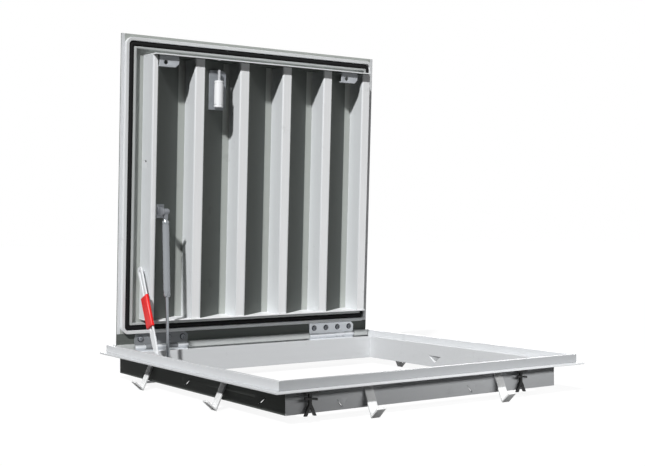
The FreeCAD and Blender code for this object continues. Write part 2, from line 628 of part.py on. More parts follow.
def strut():
    """Gas strut drawn at its open length, with its two brackets."""
    head_s, head_w = open_point(STRUT_HEAD_S, STRUT_HEAD_W)
    mid_x = EAR_X + EAR + STRUT_GAP + EYE_WIDE / 2
    foot = V(mid_x, y_of(STRUT_FOOT_S), z_of(STRUT_FOOT_W))
    head = V(mid_x, y_of(head_s), z_of(head_w))
    along = (head - foot).normalize()
    eye_x = (mid_x - EYE_WIDE / 2, mid_x + EYE_WIDE / 2)
    wall_x = -CLEAR_WIDTH / 2

    base_r = EYE_R + 4
    lug = ear(EAR_X, STRUT_FOOT_S, STRUT_FOOT_W, EYE_R, STRUT_FOOT_W + EYE_R + EAR)
    shelf_w = STRUT_FOOT_W + EYE_R
    shelf = block(wall_x, EAR_X + EAR, STRUT_FOOT_S - EYE_R, STRUT_FOOT_S + EYE_R, shelf_w, shelf_w + EAR)
    base = block(wall_x, wall_x + EAR, STRUT_FOOT_S - base_r, STRUT_FOOT_S + base_r, KNIFE_DEPTH + 30,
                 shelf_w + EAR)
    pin = across(EAR_X, eye_x[1] + 3, STRUT_FOOT_S, STRUT_FOOT_W, STRUT_PIN_R)
    pin = pin.fuse([across(eye_x[1] + STRUT_GAP, eye_x[1] + 4, STRUT_FOOT_S, STRUT_FOOT_W, EYE_R - 3)])
    bracket = lug.fuse([shelf, base]).removeSplitter()
    bracket = bracket.cut(across(EAR_X - 1, EAR_X + EAR + 1, STRUT_FOOT_S, STRUT_FOOT_W, STRUT_PIN_R))
    save("strut_foot_bracket", bracket)
    save("strut_foot_pin", pin.removeSplitter())

    rod_end = head - along * (HEAD_NECK + CYLINDER_LENGTH - ROD_INSIDE)
    eye = across(eye_x[0], eye_x[1], STRUT_FOOT_S, STRUT_FOOT_W, EYE_R)
    neck = square_bar(foot, foot + along * FOOT_NECK, NECK)
    bore = across(eye_x[0] - 1, eye_x[1] + 1, STRUT_FOOT_S, STRUT_FOOT_W, STRUT_PIN_R + PIN_CLEAR)
    eye = eye.fuse(neck).cut(bore)
    save("strut_foot_eye", eye)
    piston = rod(rod_end - along * PISTON, rod_end, CYLINDER_BORE_R - 0.1)
    stem = rod(foot + along * FOOT_NECK, rod_end, ROD_R)
    save("strut_rod", stem.fuse(piston).removeSplitter())

    top = head - along * HEAD_NECK
    low = top - along * CYLINDER_LENGTH
    shell = rod(low, top, CYLINDER_R)
    bore = rod(low, top - along * 8, CYLINDER_BORE_R)
    cap = rod(low, low + along * GLAND, CYLINDER_BORE_R)
    gland = cap.cut(rod(low - along, low + along * (GLAND + 1), ROD_R + PIN_CLEAR))
    save("strut_cylinder", shell.cut(bore))
    save("strut_gland", gland)
    head_eye = rod(V(eye_x[0], head.y, head.z), V(eye_x[1], head.y, head.z), EYE_R)
    head_eye = head_eye.fuse(square_bar(head, top, NECK))
    save("strut_head_eye", head_eye)
    save("strut_head_bolt", rod(V(eye_x[1], head.y, head.z), V(eye_x[1] + 4, head.y, head.z), EYE_R - 3))

    tip = ear(EAR_X, STRUT_HEAD_S, STRUT_HEAD_W, EYE_R + 3, RIB_DEPTH - 14)
    seat_s = (STRUT_HEAD_S - SEAT_HALF, STRUT_HEAD_S + SEAT_HALF)
    seat = block(EAR_X - 6, EAR_X + 30, seat_s[0], seat_s[1], SKIN + RIB_SHEET, RIB_DEPTH + EAR)
    under = flank_side(rib_walls(0)[1])
    rise, run = RIB_DEPTH - SKIN - RIB_SHEET, FLANK_RUN
    lift = V(rise, 0, -run).normalize() * EAR
    seat = seat.common(under.copy().translate(lift))
    bracket = tip.fuse(seat).cut(under).removeSplitter()
    save("strut_head_bracket", opened(bracket))
    return foot, head, along


def hold_open_arm():
    """Slotted arm with its grip, pivot bracket and the stud on the lid."""
    stud_s, stud_w = open_point(STUD_S, STUD_W)
    far = math.hypot(ARM_PIVOT_S - stud_s, ARM_PIVOT_W - stud_w)
    near = math.hypot(STUD_S - ARM_PIVOT_S, STUD_W - ARM_PIVOT_W)
    lean = math.degrees(math.atan2(ARM_PIVOT_S - stud_s, ARM_PIVOT_W - stud_w))
    pivot = V(0, y_of(ARM_PIVOT_S), z_of(ARM_PIVOT_W))
    half, reach = ARM_WIDTH / 2, far + ARM_TIP

    def bar(x0, x1, a0, a1, half_width):
        """Bar along the arm from a0 to a1, drawn upright above the pivot."""
        return Part.makeBox(x1 - x0, 2 * half_width, a1 - a0, V(x0, pivot.y - half_width, pivot.z + a0))

    def disc(x, thick, along, radius):
        """Round plate across the arm, drawn upright above the pivot."""
        return Part.makeCylinder(radius, thick, V(x, pivot.y, pivot.z + along), V(1, 0, 0))

    def leaned(shape):
        """Turn an upright shape to the arm's open lean."""
        return shape.rotate(pivot, V(1, 0, 0), -lean)

    x0, x1 = ARM_X, ARM_X + ARM
    blade = bar(x0, x1, ARM_TAPER, reach - half, half)
    crown, root = disc(x0, ARM, reach - half, half), disc(x0, ARM, 0, ARM_PIVOT_R)
    taper = prism([V(x0, pivot.y - ARM_PIVOT_R, pivot.z), V(x0, pivot.y + ARM_PIVOT_R, pivot.z),
                   V(x0, pivot.y + half, pivot.z + ARM_TAPER), V(x0, pivot.y - half, pivot.z + ARM_TAPER)],
                  V(ARM, 0, 0))
    slot_r = STUD_R + SLOT_CLEAR
    slot = bar(x0 - 1, x1 + 1, near, far, slot_r)
    ends = [disc(x0 - 1, ARM + 2, along, slot_r) for along in (near, far)]
    hole = disc(x0 - 1, ARM + 2, 0, ARM_PIN_R + PIN_CLEAR)
    arm = blade.fuse([crown, root, taper]).cut(slot.fuse(ends)).cut(hole)
    save("hold_open_arm", leaned(arm.removeSplitter()))

    outer = bar(x0 - GRIP_WALL, x1, GRIP_START, GRIP_START + GRIP_LENGTH, half + GRIP_WALL)
    face_edges = [e for e in outer.Edges if abs(e.CenterOfMass.x - (x0 - GRIP_WALL)) < 0.01]
    outer = outer.makeFillet(GRIP_R, face_edges)
    save("arm_grip", leaned(outer.cut(bar(x0, x1 + 1, GRIP_START - 1, GRIP_START + GRIP_LENGTH + 1, half))))

    wall_x = -CLEAR_WIDTH / 2
    ear_x = ARM_X - EAR - STRUT_GAP
    shelf_w = ARM_PIVOT_W + 28
    lug = ear(ear_x, ARM_PIVOT_S, ARM_PIVOT_W, ARM_PIVOT_R, shelf_w)
    r = ARM_PIVOT_R
    shelf = block(wall_x, ear_x + EAR, ARM_PIVOT_S - r, ARM_PIVOT_S + r, shelf_w, shelf_w + EAR)
    base = block(wall_x, wall_x + EAR, ARM_PIVOT_S - 2 * r, ARM_PIVOT_S + 2 * r, shelf_w, COAMING_DEPTH - 10)
    base = base.cut(block(wall_x, wall_x + EAR, 0, STRUT_FOOT_S + EYE_R + 5, 0, COAMING_DEPTH + 1))
    bracket = lug.fuse([shelf, base]).removeSplitter()
    bracket = bracket.cut(across(ear_x - 1, ear_x + EAR + 1, ARM_PIVOT_S, ARM_PIVOT_W, ARM_PIN_R))
    save("arm_bracket", bracket)
    bolt = across(ear_x, x1 + 3, ARM_PIVOT_S, ARM_PIVOT_W, ARM_PIN_R)
    cap = across(x1 + STRUT_GAP, x1 + 4, ARM_PIVOT_S, ARM_PIVOT_W, ARM_PIVOT_R - 2)
    save("arm_pivot_bolt", bolt.fuse(cap).removeSplitter())
    save("arm_stud", opened(across(x1 + STUD_GAP, RIB_FIRST, STUD_S, STUD_W, STUD_R)))
    return pivot, lean


def clamps():
    """Forked hold-down clamps under the flange, each with its wing nut."""
    bodies, nuts = [], []
    wide, deep, high = CLAMP_BLOCK
    face = FRONT_WALL_S + WALL
    r, wing, nut = CLAMP_SPINE_R, CLAMP_WING, CLAMP_NUT
    middle = face + deep / 2
    for x in CLAMP_X:
        def cut_out(outline, thick):
            """Plate on the front of the spine, from (x, depth) points; thick is along Y."""
            return prism([V(x + dx, y_of(middle + r), z_of(w)) for dx, w in outline], V(0, thick, 0))
        base = block(x - wide / 2, x + wide / 2, face, face + deep, SHELF_DEPTH, SHELF_DEPTH + high)
        spine = block(x - r, x + r, middle - r, middle + r, SHELF_DEPTH + high, CLAMP_FORK)
        fork = [cut_out([(-r, CLAMP_FORK), (r, CLAMP_FORK), (dx + r, CLAMP_FOOT), (dx - r, CLAMP_FOOT)], 2 * r)
                for dx in (-CLAMP_SPLAY, CLAMP_SPLAY)]
        bodies.append(base.fuse([spine] + fork).removeSplitter())
        nuts.append(cut_out([(-wing, nut - 5), (wing, nut), (wing, nut + 6), (0, nut + 3), (-wing, nut + 3)], -r))
    save("clamp_bodies", *bodies)
    save("clamp_wing_nuts", *nuts)


def main():
    os.makedirs("parts", exist_ok=True)
    frame_members()
    lid_skin()
    lid_edge()
    ribs()
    headers()
    keepers()
    lock()
    clamps()
    hinges()
    foot, head, along = strut()
    pivot, lean = hold_open_arm()
    shut_head = V(foot.x, y_of(STRUT_HEAD_S), z_of(STRUT_HEAD_W))
    swing = math.degrees((shut_head - foot).getAngle(head - foot))
    shut_lean = math.degrees(math.atan2(STUD_S - ARM_PIVOT_S, ARM_PIVOT_W - STUD_W))
    print("hinge axis", AXIS)
    print("strut foot", foot, "head", head, "along", along)
    print("strut swing %.3f stroke %.3f" % (swing, (head - foot).Length - (shut_head - foot).Length))
    print("arm pivot", pivot, "open lean %.3f turn to shut %.3f" % (lean, lean + shut_lean))


main()
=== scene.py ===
"""Studio scene of a hinged hatch cover that stands open on its coaming frame.

Every length is in metres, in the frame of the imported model: X along the hinge line, +Y towards
the hinge side, +Z up. A place on the lid is given as x, s and w in millimetres: s is the distance
in front of the hinge axis and w the depth below the top of the skin, both with the lid shut.
"""
import logging
import math
from dataclasses import dataclass
from enum import Enum
from typing import Callable, Sequence

import bmesh
import bpy
from bmesh.types import BMEdge, BMesh, BMVert
from bpy.types import ID, Material, Mesh, MeshPolygon, Node, NodeTree, Object
from mathutils import Matrix, Vector

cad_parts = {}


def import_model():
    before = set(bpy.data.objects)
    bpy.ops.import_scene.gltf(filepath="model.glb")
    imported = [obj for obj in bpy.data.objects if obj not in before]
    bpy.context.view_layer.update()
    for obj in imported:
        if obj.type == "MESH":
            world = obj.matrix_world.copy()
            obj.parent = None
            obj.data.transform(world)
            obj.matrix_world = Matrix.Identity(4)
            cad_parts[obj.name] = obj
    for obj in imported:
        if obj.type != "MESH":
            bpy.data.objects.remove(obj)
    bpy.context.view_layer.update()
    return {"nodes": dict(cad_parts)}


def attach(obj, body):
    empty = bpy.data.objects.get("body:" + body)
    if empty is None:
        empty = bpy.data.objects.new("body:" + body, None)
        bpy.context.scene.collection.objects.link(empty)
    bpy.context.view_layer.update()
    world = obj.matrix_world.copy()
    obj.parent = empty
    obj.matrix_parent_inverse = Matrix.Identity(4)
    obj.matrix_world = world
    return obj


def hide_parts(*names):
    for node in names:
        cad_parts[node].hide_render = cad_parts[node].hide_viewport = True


LOG = logging.getLogger("hatch_cover")
MM = 0.001
FACING = 0.9
SIDEWAYS = 0.5


class Body(Enum):
    """Rigid bodies of the mechanism that pieces ride on."""

    FRAME = "frame"
    LID = "lid"
    ROD = "strut_rod_body"
    CYLINDER = "strut_cylinder_body"
    ARM = "arm"


@dataclass(frozen=True)
class LidSpace:
    """Places on the lid, turned with it from shut to open."""

    axis_y: float = 486.25
    axis_z: float = 108.0
    top: float = 118.0
    open_degrees: float = 87.0

    def shut(self, x: float, s: float, w: float) -> Vector:
        """Point of the shut lid in metres, from its x, s and w in millimetres."""
        return Vector((x, self.axis_y - s, self.top - w)) * MM

    def opening(self) -> Matrix:
        """Turn from the shut lid to the open stop.

        Returns:
            The turn about the hinge axis.
        """
        pivot = Vector((0.0, self.axis_y, self.axis_z)) * MM
        turn = Matrix.Rotation(-math.radians(self.open_degrees), 4, "X")
        return Matrix.Translation(pivot) @ turn @ Matrix.Translation(-pivot)

    def opened(self, x: float, s: float, w: float) -> Vector:
        """The same point as shut(), with the lid standing open."""
        return self.opening() @ self.shut(x, s, w)

    def way(self, s: float = 0.0, w: float = 0.0) -> Vector:
        """Direction on the open lid, away from the hinge line by s and into the lid by w."""
        return self.opening().to_3x3() @ Vector((0.0, -s, -w))


LID = LidSpace()


def add_node(tree: NodeTree, kind: str, values: dict[str | int, object] | None = None,
             **settings: object) -> Node:
    """New node with its settings and the values of its unlinked inputs.

    Args:
        tree: that gets the node.
        kind: type name of the node.
        values: input name or number to value.
        settings: properties of the node, set before the values.

    Returns:
        The node.
    """
    node = tree.nodes.new(kind)
    for name, setting in settings.items():
        setattr(node, name, setting)
    for socket, value in (values or {}).items():
        node.inputs[socket].default_value = value
    return node


def connect(tree: NodeTree, *links: tuple[Node, str | int, Node, str | int]) -> None:
    """Links nodes of a tree, each link as a node, its output, the next node and its input."""
    for start, output, end, entry in links:
        tree.links.new(start.outputs[output], end.inputs[entry])


class ShaderGroups:
    """Shader node groups that every finish shares."""

    @staticmethod
    def _new(name: str, inputs: Sequence[tuple[str, str, object]], outputs: Sequence[str]
             ) -> tuple[NodeTree, Node, Node]:
        """Empty group with its named sockets.

        Args:
            name: of the group.
            inputs: name, kind of value and default of each input.
            outputs: name of each output, which is a number.

        Returns:
            The group with its input and output nodes.
        """
        group = bpy.data.node_groups.new(name, "ShaderNodeTree")
        for label, kind, default in inputs:
            socket = group.interface.new_socket(name=label, in_out="INPUT", socket_type="NodeSocket" + kind)
            if default is not None:
                socket.default_value = default
        for label in outputs:
            group.interface.new_socket(name=label, in_out="OUTPUT", socket_type="NodeSocketFloat")
        return group, group.nodes.new("NodeGroupInput"), group.nodes.new("NodeGroupOutput")

    @classmethod
    def grain(cls) -> NodeTree:
        """Fine streaks of rolled or brushed metal, as a height and a tint mask.

        Returns:
            The group, made once.
        """
        found = bpy.data.node_groups.get("rolled_grain")
        if found:
            return found
        group, source, sink = cls._new(
            "rolled_grain",
            (("Vector", "Vector", None), ("Scale", "Float", 60.0), ("Streak", "Vector", (1.0, 1.0, 0.05))),
            ("Height", "Mask"))
        stretch = add_node(group, "ShaderNodeVectorMath", operation="MULTIPLY")
        streaks = add_node(group, "ShaderNodeTexNoise", {"Detail": 3.0})
        clouds = add_node(group, "ShaderNodeTexNoise", {"Scale": 5.0, "Detail": 4.0})
        blend = add_node(group, "ShaderNodeMath", {1: 0.5}, operation="MULTIPLY_ADD")
        half = add_node(group, "ShaderNodeMath", {1: 0.5}, operation="MULTIPLY")
        connect(group, (source, "Vector", stretch, 0), (source, "Streak", stretch, 1),
                (stretch, 0, streaks, "Vector"), (source, "Scale", streaks, "Scale"),
                (source, "Vector", clouds, "Vector"), (clouds, "Fac", half, 0), (streaks, "Fac", blend, 0),
                (half, 0, blend, 2), (streaks, "Fac", sink, "Height"), (blend, 0, sink, "Mask"))
        return group

    @classmethod
    def wear(cls) -> NodeTree:
        """Scattered scuffs from handling, as a mask from 0 to 1.

        Returns:
            The group, made once.
        """
        found = bpy.data.node_groups.get("handling_wear")
        if found:
            return found
        group, source, sink = cls._new(
            "handling_wear",
            (("Vector", "Vector", None), ("Scale", "Float", 14.0), ("Threshold", "Float", 0.62)),
            ("Mask",))
        scuffs = add_node(group, "ShaderNodeTexNoise", {"Detail": 8.0, "Roughness": 0.7})
        cut = add_node(group, "ShaderNodeMath", operation="SUBTRACT")
        gain = add_node(group, "ShaderNodeMath", {1: 9.0}, operation="MULTIPLY", use_clamp=True)
        connect(group, (source, "Vector", scuffs, "Vector"), (source, "Scale", scuffs, "Scale"),
                (scuffs, "Fac", cut, 0), (source, "Threshold", cut, 1), (cut, 0, gain, 0), (gain, 0, sink, "Mask"))
        return group


def linear(value: int) -> float:
    """Linear light of one 8-bit display value."""
    part = value / 255.0
    return part / 12.92 if part <= 0.04045 else ((part + 0.055) / 1.055) ** 2.4


@dataclass(frozen=True)
class Finish:
    """One surface finish and the record's material slot that it stands for."""

    name: str
    slot: str
    colour: tuple[int, int, int]
    roughness: float = 0.5
    metallic: float = 0.0
    specular: float = 0.4
    streak: tuple[float, float, float] = (1.0, 1.0, 0.05)
    grain_scale: float = 90.0
    tint: float = 0.05
    relief: float = 0.0002
    bump: float = 0.15
    scuffs: float = 0.10
    scuff_depth: float = 1.4
    coat: float = 0.0
    coat_roughness: float = 0.2

    def shade(self, share: float) -> tuple[float, float, float, float]:
        """The linear colour times a share."""
        return (*(Vector([linear(value) for value in self.colour]) * share), 1.0)

    def material(self) -> Material:
        """The finish as a material, made once.

        Returns:
            The material of this name.
        """
        found = bpy.data.materials.get(self.name)
        if found:
            return found
        made = bpy.data.materials.new(self.name)
        made.use_nodes = True
        tree = made.node_tree
        shader = tree.nodes["Principled BSDF"]
        for socket, value in (("Metallic", self.metallic), ("Specular IOR Level", self.specular),
                              ("Coat Weight", self.coat), ("Coat Roughness", self.coat_roughness)):
            shader.inputs[socket].default_value = value
        place = add_node(tree, "ShaderNodeTexCoord")
        grain = add_node(tree, "ShaderNodeGroup", {"Scale": self.grain_scale, "Streak": self.streak},
                         node_tree=ShaderGroups.grain())
        wear = add_node(tree, "ShaderNodeGroup", node_tree=ShaderGroups.wear())
        tints = add_node(tree, "ShaderNodeMix", {"A": self.shade(1.0 - self.tint), "B": self.shade(1.0 + self.tint)},
                         data_type="RGBA")
        scuffed = add_node(tree, "ShaderNodeMix", {"B": self.shade(1.0 - self.scuff_depth * self.scuffs)},
                           data_type="RGBA")
        rough = add_node(tree, "ShaderNodeMapRange",
                         {"To Min": self.roughness, "To Max": min(self.roughness + self.scuffs, 1.0)})
        bump = add_node(tree, "ShaderNodeBump", {"Strength": self.bump, "Distance": self.relief})
        connect(tree, (place, "Object", grain, "Vector"), (place, "Object", wear, "Vector"),
                (grain, "Mask", tints, "Factor"), (wear, "Mask", scuffed, "Factor"),
                (tints, "Result", scuffed, "A"), (scuffed, "Result", shader, "Base Color"),
                (wear, "Mask", rough, "Value"), (rough, "Result", shader, "Roughness"),
                (grain, "Height", bump, "Height"), (bump, "Normal", shader, "Normal"))
        return made


class Finishes:
    """Every finish of the hatch cover."""

    PLATE = Finish("frame_plate", "aluminium", (212, 214, 216), specular=0.25, streak=(0.05, 1.0, 1.0))
    # Painted shade: a darker copy of the frame plate, put on the front upstand.
    PAINTED_SHADE_FRONT_PLATE = Finish("front_plate", "aluminium", (158, 160, 162), specular=0.25, streak=(0.05, 1.0, 1.0))
    # Painted shade: a dark copy of the sheet, put on faces that lie in shade.
    SHADED = Finish("shaded_sheet", "aluminium", (92, 96, 93), roughness=0.6, specular=0.1)
    # Painted highlight: a brightened copy of the rib sheet for the crests and the hinge-side header.
    PAINTED_HIGHLIGHT_CREST = Finish("rib_crest", "aluminium", (240, 241, 242), roughness=0.4, specular=0.08)
    RIB = Finish("rib_sheet", "aluminium", (212, 215, 217), specular=0.08)
    # Painted shade: a dark copy of the rib sheet for the flanks that face away from the key lamp.
    PAINTED_SHADE_FLANK = Finish("rib_flank", "aluminium", (102, 106, 103), roughness=0.6, specular=0.1)
    SKIN = Finish("tread_skin", "aluminium", (168, 172, 168), specular=0.2)
    LIP = Finish("lid_lip", "aluminium", (212, 214, 215), roughness=0.4, streak=(1.0, 1.0, 1.0))
    RETAINER = Finish("seal_retainer", "aluminium", (178, 181, 180), roughness=0.45, streak=(1.0, 1.0, 1.0))
    # Bright metal of the arm, also used as a painted highlight on the lip's sides and the free-edge header.
    BRIGHT_AND_PAINTED_HIGHLIGHT = Finish("bright_bar", "bright_aluminium", (234, 236, 238), roughness=0.35)
    # Painted shade on the lock plate, and a painted highlight on the screw heads' outward faces.
    LOCK_SHADE_AND_DOME_HIGHLIGHT = Finish("bolt_plate", "aluminium", (140, 144, 149), roughness=0.4)
    # Painted shade: a darker copy of the plate for the keepers under the header.
    PAINTED_SHADE_KEEPER = Finish("keeper_plate", "aluminium", (186, 190, 195), roughness=0.4)
    LEAF = Finish("hinge_leaf", "aluminium", (230, 233, 237), roughness=0.28, metallic=0.5)
    # Painted shade: a darker copy of the hinge leaf, for the left lid leaf only.
    PAINTED_SHADE_LEAF = Finish("dull_leaf", "aluminium", (122, 125, 128), roughness=0.45)
    STRAP = Finish("anchor_strap", "anchor_steel", (230, 231, 231), roughness=0.45)
    STEEL = Finish("hinge_steel", "steel", (196, 198, 202), roughness=0.3, metallic=0.4)
    DARK_STEEL = Finish("dark_steel", "steel", (136, 139, 144), roughness=0.35, metallic=0.5)
    SCREW = Finish("dark_screw", "screw_steel", (44, 46, 54), roughness=0.28, metallic=0.5)
    TUBE = Finish("strut_tube", "strut_body", (150, 154, 158), roughness=0.22, metallic=0.7, scuffs=0.02)
    ROD = Finish("piston_rod", "polished_rod", (150, 154, 159), roughness=0.15, metallic=0.9, scuffs=0.02)
    RUBBER = Finish("seal_rubber", "rubber", (13, 13, 14), roughness=0.75, specular=0.2, relief=0.0005)
    GRIP = Finish("red_vinyl", "red_grip", (232, 4, 4), roughness=0.38, tint=0.02, scuffs=0.03, coat=0.2)
    BLACK = Finish("black_clamp", "black_iron", (20, 20, 21), scuffs=0.05)
    BARREL = Finish("bolt_barrel", "white_barrel", (238, 239, 241), roughness=0.35)


NODE_FINISH: tuple[tuple[Finish, tuple[str, ...]], ...] = (
    # Painted shade: the front upstand gets a darker copy of the frame plate.
    (Finishes.PAINTED_SHADE_FRONT_PLATE, ("upstand_front",)),
    (Finishes.PLATE, ("flange_", "upstand_", "coaming_", "apron_", "lock_keeper", "strut_foot_bracket",
                      "arm_bracket")),
    (Finishes.STRAP, ("anchors_",)),
    (Finishes.SKIN, ("lid_skin",)),
    (Finishes.LIP, ("edge_lip",)),
    (Finishes.RETAINER, ("edge_bars", "gasket_retainer")),
    (Finishes.RUBBER, ("gasket",)),
    (Finishes.RIB, ("rib_",)),
    # Painted highlight: the hinge-side header gets the brightened crest tone.
    (Finishes.PAINTED_HIGHLIGHT_CREST, ("hinge_side_header",)),
    # The free-edge header gets the bright finish as a painted highlight; the arm is bright metal.
    (Finishes.BRIGHT_AND_PAINTED_HIGHLIGHT, ("free_edge_header", "hold_open_arm")),
    # Painted shade: the keepers get a darker plate tone.
    (Finishes.PAINTED_SHADE_KEEPER, ("keeper_",)),
    # Painted shade: the lock plate gets a darkened grey.
    (Finishes.LOCK_SHADE_AND_DOME_HIGHLIGHT, ("lock_plate",)),
    (Finishes.BARREL, ("lock_barrel",)),
    (Finishes.SCREW, ("hinge_lid_screws",)),
    # Painted shade: the left lid leaf gets the darker leaf tone.
    (Finishes.PAINTED_SHADE_LEAF, ("hinge_lid_leaf_left",)),
    (Finishes.ROD, ("strut_rod",)),
    (Finishes.TUBE, ("strut_cylinder",)),
    (Finishes.BLACK, ("strut_gland", "clamp_")),
    (Finishes.GRIP, ("arm_grip",)),
    (Finishes.STEEL, ("key_plug", "lock_bolt", "hinge_frame_screws", "hinge_pin", "arm_")),
    (Finishes.LEAF, ("hinge_",)),
    (Finishes.DARK_STEEL, ("strut_",)),
)


def finish_of(node: str) -> Finish:
    """The finish of a CAD node, by the first row that holds a start of its name."""
    return next(finish for finish, starts in NODE_FINISH if node.startswith(starts))


def add_object(name: str, data: ID) -> Object:
    """New object in the scene.

    Args:
        name: of the object.
        data: mesh, lamp or camera.

    Returns:
        The linked object.
    """
    made = bpy.data.objects.new(name, data)
    bpy.context.scene.collection.objects.link(made)
    return made


def link_object(name: str, mesh: Mesh, finish: Finish) -> Object:
    """Object at the origin with a mesh and one finish.

    Args:
        name: of the object.
        mesh: already in place, in metres.
        finish: of the whole mesh.

    Returns:
        The linked object.
    """
    made = add_object(name, mesh)
    made.data.materials.clear()
    made.data.materials.append(finish.material())
    return made


def wire_object(name: str, points: Sequence[Vector], closed: bool = False) -> Object:
    """Object whose mesh is loose points or one closed loop of edges.

    Args:
        name: of the object.
        points: in metres.
        closed: True for the loop.

    Returns:
        The object.
    """
    mesh = bpy.data.meshes.new(name)
    count = len(points)
    edges = [(i, (i + 1) % count) for i in range(count)] if closed else []
    mesh.from_pydata([tuple(point) for point in points], edges, [])
    return add_object(name, mesh)


def shape_mesh(name: str, shape: BMesh) -> Mesh:
    """Mesh of a bmesh.

    Args:
        name: of the mesh.
        shape: in metres; it is freed.

    Returns:
        The mesh.
    """
    mesh = bpy.data.meshes.new(name)
    shape.to_mesh(mesh)
    shape.free()
    return mesh


def mesh_shape(mesh: Mesh) -> BMesh:
    """Bmesh of a mesh.

    Args:
        mesh: to copy.

    Returns:
        The bmesh, which the caller frees.
    """
    shape = bmesh.new()
    shape.from_mesh(mesh)
    return shape


def evaluated_mesh(made: Object, name: str) -> Mesh:
    """Plain mesh of an object's modifiers, which are then removed.

    Args:
        made: object with the modifiers.
        name: of the new mesh.

    Returns:
        The new mesh.
    """
    bpy.context.view_layer.update()
    graph = bpy.context.evaluated_depsgraph_get()
    mesh = bpy.data.meshes.new_from_object(made.evaluated_get(graph), depsgraph=graph)
    mesh.name = name
    made.modifiers.clear()
    return mesh


def smooth(mesh: Mesh, degrees: float = 35.0, wide: float = 0.003) -> None:
    """Smooth shading with sharp edges above an angle.

    Args:
        mesh: to shade.
        degrees: angle above which an edge is sharp.
        wide: area in square metres above which a face stays flat right up to its rounds.
    """
    for face in mesh.polygons:
        face.use_smooth = True
    mesh.set_sharp_from_angle(angle=math.radians(degrees))
    for face in mesh.polygons:
        if face.area > wide:
            for corner in face.loop_indices:
                mesh.edges[mesh.loops[corner].edge_index].use_edge_sharp = True


def tone_faces(made: Object, finishes: Sequence[Finish], pick: Callable[[MeshPolygon], int]) -> None:
    """More finishes on some faces of an object.

    Args:
        made: object that gets them.
        finishes: the ones beside its own.
        pick: gives 0 for a face of the object's own finish, or else the finish's place from 1.
    """
    for finish in finishes:
        made.data.materials.append(finish.material())
    for face in made.data.polygons:
        face.material_index = pick(face)


def tone_side(made: Object, towards: Vector, finish: Finish, least: float = SIDEWAYS) -> None:
    """Another finish on the faces that look one way, where least is the cosine of their widest angle to it."""
    tone_faces(made, (finish,), lambda face: int(face.normal.dot(towards) > least))


def to_object(name: str, shape: BMesh, finish: Finish, body: Body,
              turn: Matrix | None = None, degrees: float = 35.0) -> Object:
    """Finished object from a bmesh, riding on a body.

    Args:
        name: of the object.
        shape: in metres; it is freed.
        finish: of the whole piece.
        body: that it rides on.
        turn: optional placing of the mesh.
        degrees: angle above which an edge stays sharp.

    Returns:
        The object.
    """
    if turn is not None:
        shape.transform(turn)
    mesh = shape_mesh(name, shape)
    smooth(mesh, degrees)
    made = link_object(name, mesh, finish)
    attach(made, body.value)
    LOG.info("%s: %d faces", name, len(mesh.polygons))
    return made


@dataclass
class Softener:
    """Copies of CAD nodes with small rounds on their sharp edges."""

    nodes: dict[str, Object]
    weld: float = 2e-6
    flat_degrees: float = 0.5
    sharp_degrees: float = 40.0
    shade_degrees: float = 30.0
    fold_degrees: float = 15.0
    fold_length: float = 0.3
    fold_width: float = 0.012
    fold_segments: int = 4

    def is_fold(self, edge: BMEdge) -> bool:
        """Tells a long fold between two faces that are wider than the sheet's own edge.

        Args:
            edge: of a bmesh in metres.

        Returns:
            True for a fold.
        """
        if len(edge.link_faces) != 2 or edge.calc_length() < self.fold_length:
            return False
        turned = math.degrees(edge.calc_face_angle(0.0))
        widths = [face.calc_area() / edge.calc_length() for face in edge.link_faces]
        return turned > self.fold_degrees and min(widths) > self.fold_width

    def round_edges(self, node: str, body: Body, width_mm: float, segments: int = 2, fold_mm: float = 0.0,
                    cutter: Object | None = None) -> Object:
        """Rounded copy that stands for one CAD node.

        Args:
            node: name of the CAD node.
            body: that the copy rides on.
            width_mm: of the round.
            segments: of the round.
            fold_mm: bend of the long folds between wide faces, before the other rounds.
            cutter: shape that is cut away first.

        Returns:
            The copy.
        """
        shape = mesh_shape(self.nodes[node].data)
        bmesh.ops.remove_doubles(shape, verts=shape.verts, dist=self.weld)
        bmesh.ops.dissolve_limit(shape, angle_limit=math.radians(self.flat_degrees), verts=shape.verts,
                                 edges=shape.edges)
        if fold_mm:
            folds = [edge for edge in shape.edges if self.is_fold(edge)]
            bmesh.ops.bevel(shape, geom=folds, offset=fold_mm * MM, segments=self.fold_segments, profile=0.5,
                            affect="EDGES")
        copy = link_object(node + "_rounded", shape_mesh(node + "_flat", shape), finish_of(node))
        if cutter is not None:
            cut = copy.modifiers.new("cut", "BOOLEAN")
            cut.object, cut.operation, cut.solver = cutter, "DIFFERENCE", "EXACT"
        bevel = copy.modifiers.new("round", "BEVEL")
        bevel.width = width_mm * MM
        bevel.segments = segments
        bevel.limit_method = "ANGLE"
        bevel.angle_limit = math.radians(self.sharp_degrees)
        bevel.use_clamp_overlap = True
        copy.data = evaluated_mesh(copy, node + "_rounded")
        smooth(copy.data, self.shade_degrees)
        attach(copy, body.value)
        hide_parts(node)
        finish_of(node).slot
        LOG.info("%s: %d faces", copy.name, len(copy.data.polygons))
        return copy


